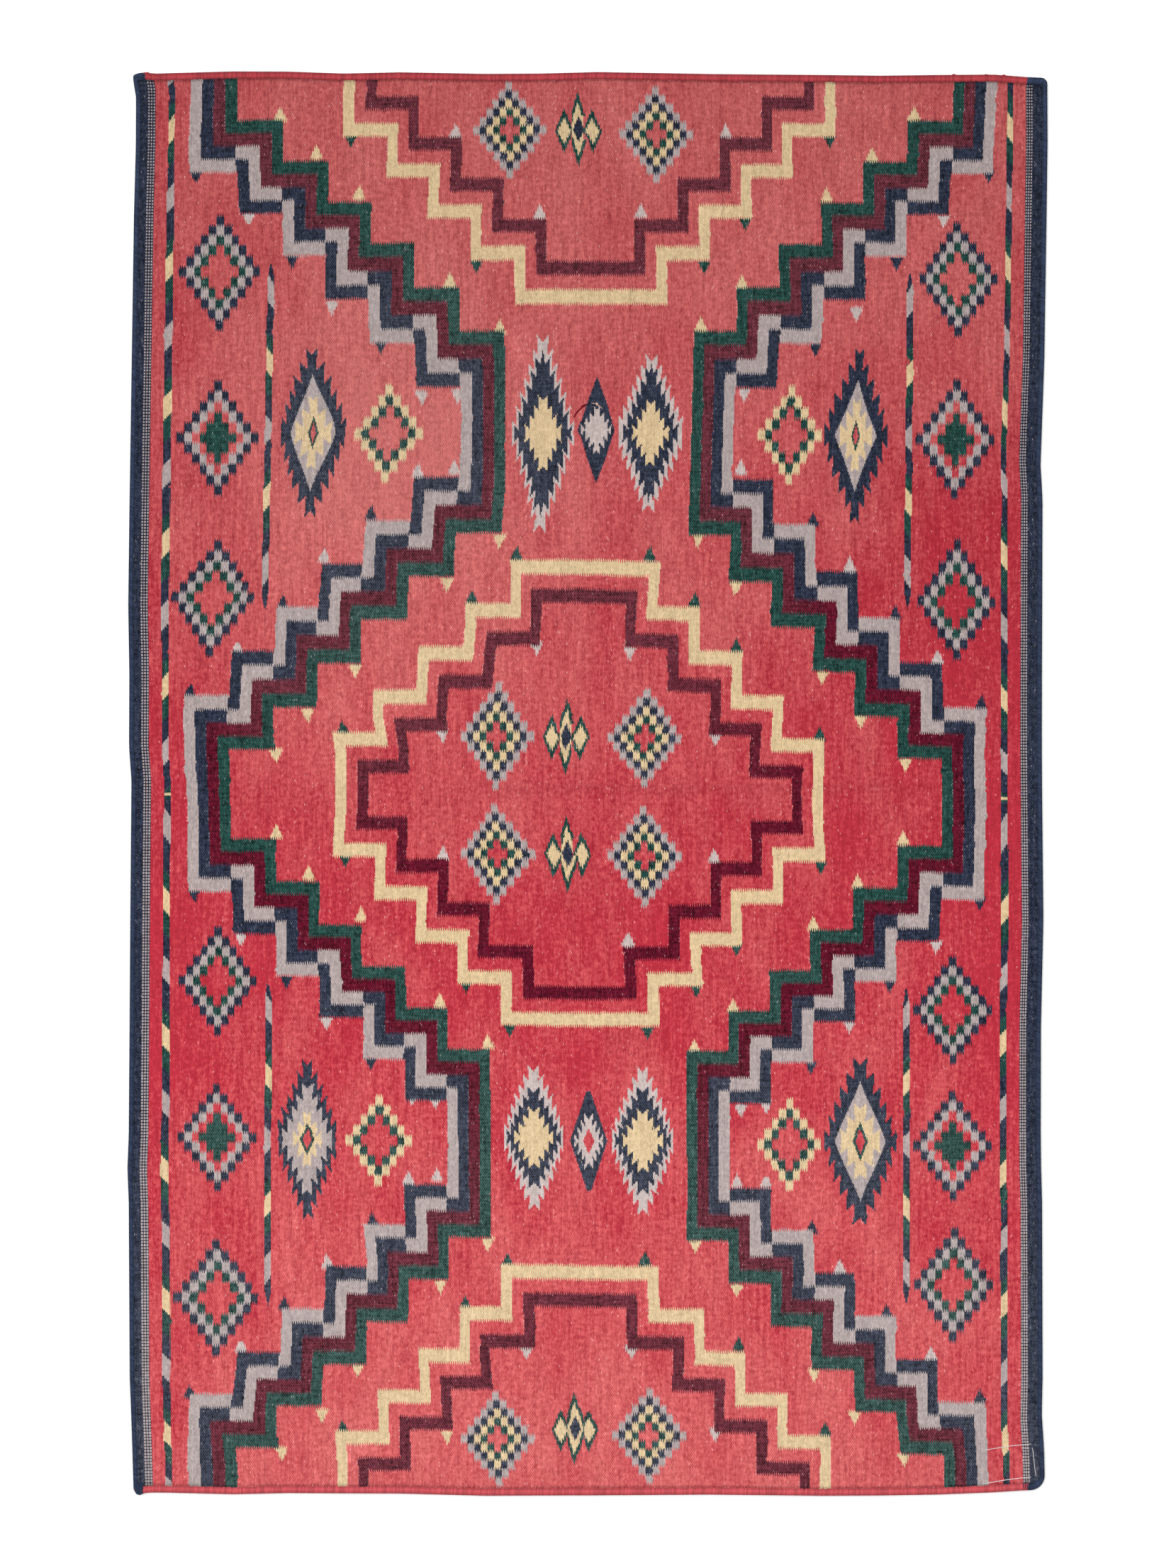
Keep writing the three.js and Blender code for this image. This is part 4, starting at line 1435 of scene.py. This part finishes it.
def red_nubs():
    """Red yarn ends that stand out of the whippings."""
    ear = (-579.5, 925.2, 0.1), (-576.0, 926.6, 0.3), (-572.8, 927.0, 0.5), (-570.8, 924.6, 0.2)
    ends = [strand(ear, 2.0)]
    for x, y, size in ((543.0, 924.4, 1.7), (520.0, 925.0, 1.2), (478.0, 925.4, 1.3)):
        places = (x - 2.4, y - 1.6, 0.1), (x - 0.4, y, 0.3), (x + 3.0, y - 1.4, 0.1)
        ends.append(strand(places, size, 10))
    return ends + laid(
        (((-590.6, -915.5, 0.1), (-590.4, -920.5, 0.4), (-588.6, -925.2, 0.2)), 1.7, 10),
        (((-581.8, -917.6, 0.2), (-581.2, -921.6, 0.5), (-582.6, -925.0, 0.2)), 1.5, 10),
    )


def tacking():
    """Long stitches of white thread, which hold something on the back."""
    strands = []
    for start, end in (
        ((514.1, -870.1), (581.3, -861.3)), ((514.1, -913.5), (582.5, -904.3)),
        ((580.2, -865.3), (585.3, -905.1)),
    ):
        run = np.linspace(0, 1, 9)
        x = start[0] + (end[0] - start[0]) * run + 0.25 * np.sin(run * 7)
        y = start[1] + (end[1] - start[1]) * run + 0.35 * np.sin(run * 5 + start[0])
        y = y + 1.2 * run * (1 - run)
        above = np.where((run == 0) | (run == 1), -0.5, 0.3)
        strands.append(strand(np.stack([x, y, above], -1), 0.85, 40, taper=0.5))
    return strands


def pale_ends():
    """Pale ends of the warp at the two left corners."""
    return laid(
        (((-590.4, 921.6, 0.9), (-588.4, 922.7, 1.1), (-586.6, 922.2, 0.8)), 0.9, 8),
        (((-587.0, -926.4, 0.6), (-586.0, -928.2, 0.7), (-585.6, -929.4, 0.3)), 1.2, 8),
        (((-584.4, -926.8, 0.6), (-584.9, -928.4, 0.6), (-585.4, -929.2, 0.3)), 0.9, 8),
    )


def loose_end():
    """A beige end with a knot in it, which has worked out of the cloth."""
    return laid(
        ((
            (4.2, 496.8, -0.4), (7.5, 496.1, 0.5), (12.2, 494.8, 0.8), (16.4, 491.8, 0.6),
            (20.0, 489.0, -0.3),
        ), 0.75, 24),
        ((
            (10.8, 495.6, 0.5), (11.6, 496.4, 1.2), (12.8, 495.6, 1.5), (12.4, 494.2, 1.2),
            (11.2, 494.6, 0.6),
        ), 1.5, 16),
        (((13.2, 493.6, 0.4), (14.6, 492.6, 0.9), (15.6, 492.2, 0.3)), 1.1, 10),
    )


def slit_yarn():
    """The deep red yarn that shows in a curved slit beside it."""
    return laid(
        ((
            (-17.6, 476.0, -0.4), (-16.2, 481.0, 0.1), (-13.6, 485.2, 0.2), (-8.2, 489.8, 0.2),
            (-4.8, 492.4, 0.2), (-1.6, 494.2, -0.4),
        ), 2.0, 24),
        (((-8.6, 491.0, 0.0), (-5.4, 493.4, 0.3), (-2.2, 494.0, 0.0)), 2.2, 10),
    )


def slit_shade():
    """Dark yarn laid as painted shadow in the bottom of that slit, and at its end in the navy
    diamond.
    """
    return laid(
        (((-16.6, 478.6, -0.2), (-14.4, 483.2, 0.3), (-10.4, 487.4, 0.3)), 0.9, 12),
        (((-8.8, 489.6, 0.2), (-4.0, 493.0, 0.6), (0.4, 495.2, 0.5), (5.2, 496.6, -0.2)), 1.3, 16),
    )


# What makes each sewn piece, the colour of its yarn, and the name of a slot.
SEWN = {
    "sewn_navy_ends": (navy_ends, "navy_whipping", "navy_whipping"),
    "sewn_red_nubs": (red_nubs, "top_whipping", "red_whipping"),
    "sewn_pale_ends": (pale_ends, "fleck", "patterned_web"),
    "sewn_tacking": (tacking, "tacking", "patterned_web"),
    "sewn_loose_yarn": (loose_end, "loose", "patterned_web"),
    "sewn_slit_yarn": (slit_yarn, "slit", "patterned_web"),
    # A dark yarn laid as painted shadow in the slit.
    "sewn_slit_shade": (slit_shade, "slit_shade", "patterned_web"),
}


# ---- Settings --------------------------------------------------------------------------------


def colour_property(name, description, *values):
    return FloatVectorProperty(
        name=name, description=description, subtype="COLOR", size=3, min=0, max=1,
        default=linear(*values),
    )


def number_property(name, description, default):
    return FloatProperty(name=name, description=description, default=default, min=0)


class RugYarnSettings(bpy.types.PropertyGroup):
    """The colours of the yarns."""

    deep_red: colour_property("Deep Red", "Red where it kept its dye", 190, 48, 64)
    faded_red: colour_property("Faded Red", "Red where the light has bleached it", 229, 124, 121)
    navy: colour_property("Navy", "The dark blue of the bands and sides", 40, 47, 67)
    grey: colour_property("Grey", "The undyed warm grey", 175, 160, 158)
    pale_grey: colour_property("Pale Grey", "The light grey of the toothed figures", 200, 183, 179)
    grey_tip: colour_property("Grey Tips", "The lighter hairs of the grey yarn", 215, 203, 200)
    green: colour_property("Green", "The dark green of the outer bands", 29, 70, 64)
    maroon: colour_property("Maroon", "The wine red of the inner lines", 98, 8, 36)
    yellow: colour_property("Yellow", "The pale straw of the outlines", 222, 194, 151)
    fleck: colour_property("Flecks", "The pale warp that peeps through", 226, 205, 200)
    # The top whipping's red is set darker than the bottom's: partly its own colour, partly painted
    # shade of the light falling off towards the top end.
    top_whipping: colour_property("Top Whipping", "The red yarn over the top end", 165, 60, 67)
    navy_whipping: colour_property("Navy Whipping", "The navy yarn over the sides", 46, 57, 80)
    bottom_whipping: colour_property(
        "Bottom Whipping", "The red yarn over the bottom end", 197, 82, 89
    )
    tacking: colour_property("Tacking", "The white thread of the tacking stitches", 235, 228, 226)
    slit: colour_property("Slit Yarn", "The deep red yarn in the slit", 122, 12, 30)
    # Painted shadow: the colour of the dark yarn laid in the slit, where there is only shade.
    slit_shade: colour_property("Slit Shade", "The dark bottom of the slit", 34, 16, 32)
    loose: colour_property("Loose Yarn", "The beige end that has worked loose", 225, 190, 165)


class RugWhippingSettings(bpy.types.PropertyGroup):
    """The turns of yarn round the four edges."""

    red_pitch: number_property("Red Pitch", "Millimetres from one red turn to the next", 2.2)
    navy_pitch: number_property("Navy Pitch", "Millimetres from one navy turn to the next", 2.6)
    navy_slant: number_property("Navy Slant", "How far each navy turn leans, in millimetres", 4.6)
    looseness: number_property("Looseness", "How unevenly the turns were pulled", 1.0)
    seed: IntProperty(name="Seed", description="Picks one set of uneven turns", default=7, min=0)


class RugStudioSettings(bpy.types.PropertyGroup):
    """The camera over the rug, and the light on it."""

    camera_height: FloatProperty(
        name="Camera Height", description="Height of the camera over the ground", default=3.6,
        min=1, unit="LENGTH",
    )
    sky: number_property("Sky", "Strength of the light from all round", 0.86)
    window: FloatProperty(
        name="Window", description="Power of the broad light at the upper left", default=330.0,
        min=0, unit="POWER",
    )


def yarn_colours(context):
    yarns = context.scene.rug_yarns
    return {name: tuple(getattr(yarns, name)) for name in RugYarnSettings.__annotations__}


def shades_of(colour, pale, dark):
    return tuple(min(1.0, part * pale) for part in colour), tuple(part * dark for part in colour)


# ---- Operators -------------------------------------------------------------------------------


def take_place(piece, node):
    """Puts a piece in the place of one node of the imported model."""
    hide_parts(node)
    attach(piece, "root")


def sew(context, *names):
    """Adds loose yarns to the rug, each name as one piece."""
    for name in names:
        make, colour_name, slot = SEWN[name]
        colour = yarn_colours(context)[colour_name]
        material = whipping_wool(f"{name}_wool", colour, *shades_of(colour, 1.2, 0.8))
        piece = strands_object(name, make(), material)
        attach(piece, "root")
    return {"FINISHED"}


def turn_length(reach):
    """Length of yarn in one turn of a whipping, about, with its four corners cut."""
    return 2 * (reach + CROWN) - 4 * YARN_HEIGHT


class RUG_OT_web(bpy.types.Operator):
    """Weave the patterned web, with its old fold and its curled corner"""

    bl_idname = "rug.web"
    bl_label = "Weave Web"

    def execute(self, context):
        web = make_web()
        web.data.materials.append(woven_wool(yarn_colours(context)))
        take_place(web, "web")
        return {"FINISHED"}


class RUG_OT_end_whippings(bpy.types.Operator):
    """Whip red yarn over the top and the bottom end"""

    bl_idname = "rug.end_whippings"
    bl_label = "Whip Ends"

    def execute(self, context):
        settings, colours = context.scene.rug_whippings, yarn_colours(context)
        turn = turn_object("red_turn", END_REACH, RED_SLANT)
        for name, side_y in (("top", 1), ("bottom", -1)):
            colour = colours[f"{name}_whipping"]
            shades = shades_of(colour, 1.3, 0.7)
            yarn = whipping_wool(f"{name}_whipping_wool", colour, *shades, turn_length(END_REACH))
            piece = whip(
                f"whipped_{name}_end", end_path(side_y), turn, END_REACH, settings.red_pitch,
                settings.looseness, settings.seed + SEEDS[name], yarn,
            )
            take_place(piece, f"end_whipping_{name}")
        bpy.data.objects.remove(turn)
        return {"FINISHED"}


class RUG_OT_side_whippings(bpy.types.Operator):
    """Whip navy yarn aslant down both sides and round the corners"""

    bl_idname = "rug.side_whippings"
    bl_label = "Whip Sides"

    def execute(self, context):
        settings, navy = context.scene.rug_whippings, yarn_colours(context)["navy_whipping"]
        shades = shades_of(navy, 1.5, 0.65)
        yarn = whipping_wool("navy_whipping_wool", navy, *shades, turn_length(SIDE_REACH))
        turn = turn_object("navy_turn", SIDE_REACH, settings.navy_slant)
        for name, side_x in (("left", -1), ("right", 1)):
            piece = whip(
                f"whipped_{name}_side", side_path(side_x), turn, SIDE_REACH, settings.navy_pitch,
                settings.looseness, settings.seed + SEEDS[name], yarn,
            )
            take_place(piece, f"side_whipping_{name}")
        bpy.data.objects.remove(turn)
        return {"FINISHED"}


class RUG_OT_corner_yarns(bpy.types.Operator):
    """Lay the ear, the tuft, the stitches and the yarn ends at the corners"""

    bl_idname = "rug.corner_yarns"
    bl_label = "Add Corner Yarns"

    def execute(self, context):
        return sew(context, "sewn_navy_ends", "sewn_red_nubs", "sewn_pale_ends")


class RUG_OT_tacking(bpy.types.Operator):
    """Sew the white tacking stitches at the lower right"""

    bl_idname = "rug.tacking"
    bl_label = "Add Tacking"

    def execute(self, context):
        return sew(context, "sewn_tacking")


class RUG_OT_loose_yarns(bpy.types.Operator):
    """Lay the loose beige yarn, and the deep red one in the slit beside it"""

    bl_idname = "rug.loose_yarns"
    bl_label = "Add Loose Yarns"

    def execute(self, context):
        # The last piece is a dark yarn laid as painted shadow in the slit.
        return sew(context, "sewn_loose_yarn", "sewn_slit_yarn", "sewn_slit_shade")


class RUG_OT_studio(bpy.types.Operator):
    """Lay a plain pale floor, light it softly and look straight down on the rug"""

    bl_idname = "rug.studio"
    bl_label = "Set Studio"

    def execute(self, context):
        settings, scene = context.scene.rug_studio, context.scene
        make_floor()
        make_light(settings)
        make_camera(settings)
        scene.view_settings.view_transform = "Standard"
        return {"FINISHED"}


def make_floor():
    corners = np.array([(-1, -1, 0), (1, -1, 0), (1, 1, 0), (-1, 1, 0)])
    floor = new_mesh("floor", corners * (FLOOR_REACH / MM), [(0, 1, 2, 3)])
    material = bpy.data.materials.new("floor_paint")
    material.use_nodes = True
    shader = material.node_tree.nodes["Principled BSDF"]
    shader.inputs["Base Color"].default_value = (0.97, 0.97, 0.97, 1)
    shader.inputs["Roughness"].default_value = 0.9
    floor.data.materials.append(material)


def make_light(settings):
    world = bpy.data.worlds.new("sky")
    world.use_nodes = True
    background = world.node_tree.nodes["Background"]
    background.inputs["Color"].default_value = (1, 1, 1, 1)
    background.inputs["Strength"].default_value = settings.sky
    bpy.context.scene.world = world
    data = bpy.data.lights.new("window", "AREA")
    data.shape, (data.size, data.size_y) = "RECTANGLE", WINDOW_SIZE
    data.energy = settings.window
    light = add_object("window", data)
    light.location = WINDOW_PLACE
    light.rotation_euler = (-light.location.normalized()).to_track_quat("-Z", "Y").to_euler()


def make_camera(settings):
    data = bpy.data.cameras.new("camera")
    data.type, data.sensor_fit, data.sensor_width = "PERSP", "AUTO", SENSOR_WIDTH
    data.lens = SENSOR_WIDTH * settings.camera_height / VIEW_HEIGHT
    camera = add_object("camera", data)
    camera.location = (CAMERA_X, CAMERA_Y, settings.camera_height)
    bpy.context.scene.camera = camera


class RUG_PT_panel(bpy.types.Panel):
    """Buttons that make the rug, and its settings"""

    bl_idname = "RUG_PT_panel"
    bl_label = "Wool Rug"
    bl_space_type = "VIEW_3D"
    bl_region_type = "UI"
    bl_category = "Rug"

    def draw(self, context):
        for operator in OPERATORS:
            self.layout.operator(operator.bl_idname)
        for group, attribute, label in SETTINGS:
            box = self.layout.box()
            box.label(text=label)
            for name in group.__annotations__:
                box.prop(getattr(context.scene, attribute), name)


OPERATORS = (
    RUG_OT_web, RUG_OT_end_whippings, RUG_OT_side_whippings, RUG_OT_corner_yarns, RUG_OT_tacking,
    RUG_OT_loose_yarns, RUG_OT_studio,
)
SETTINGS = (
    (RugYarnSettings, "rug_yarns", "Yarns"),
    (RugWhippingSettings, "rug_whippings", "Whipped edges"),
    (RugStudioSettings, "rug_studio", "Studio"),
)


def register():
    for group, attribute, _ in SETTINGS:
        bpy.utils.register_class(group)
        setattr(bpy.types.Scene, attribute, PointerProperty(type=group))
    for cls in (*OPERATORS, RUG_PT_panel):
        bpy.utils.register_class(cls)


def unregister():
    for cls in (RUG_PT_panel, *reversed(OPERATORS)):
        bpy.utils.unregister_class(cls)
    for group, attribute, _ in reversed(SETTINGS):
        delattr(bpy.types.Scene, attribute)
        bpy.utils.unregister_class(group)


def main():
    register()
    bpy.ops.rug.studio()
    bpy.ops.rug.web()
    bpy.ops.rug.end_whippings()
    bpy.ops.rug.side_whippings()
    bpy.ops.rug.corner_yarns()
    bpy.ops.rug.tacking()
    bpy.ops.rug.loose_yarns()


if __name__ == "__main__":
    main()
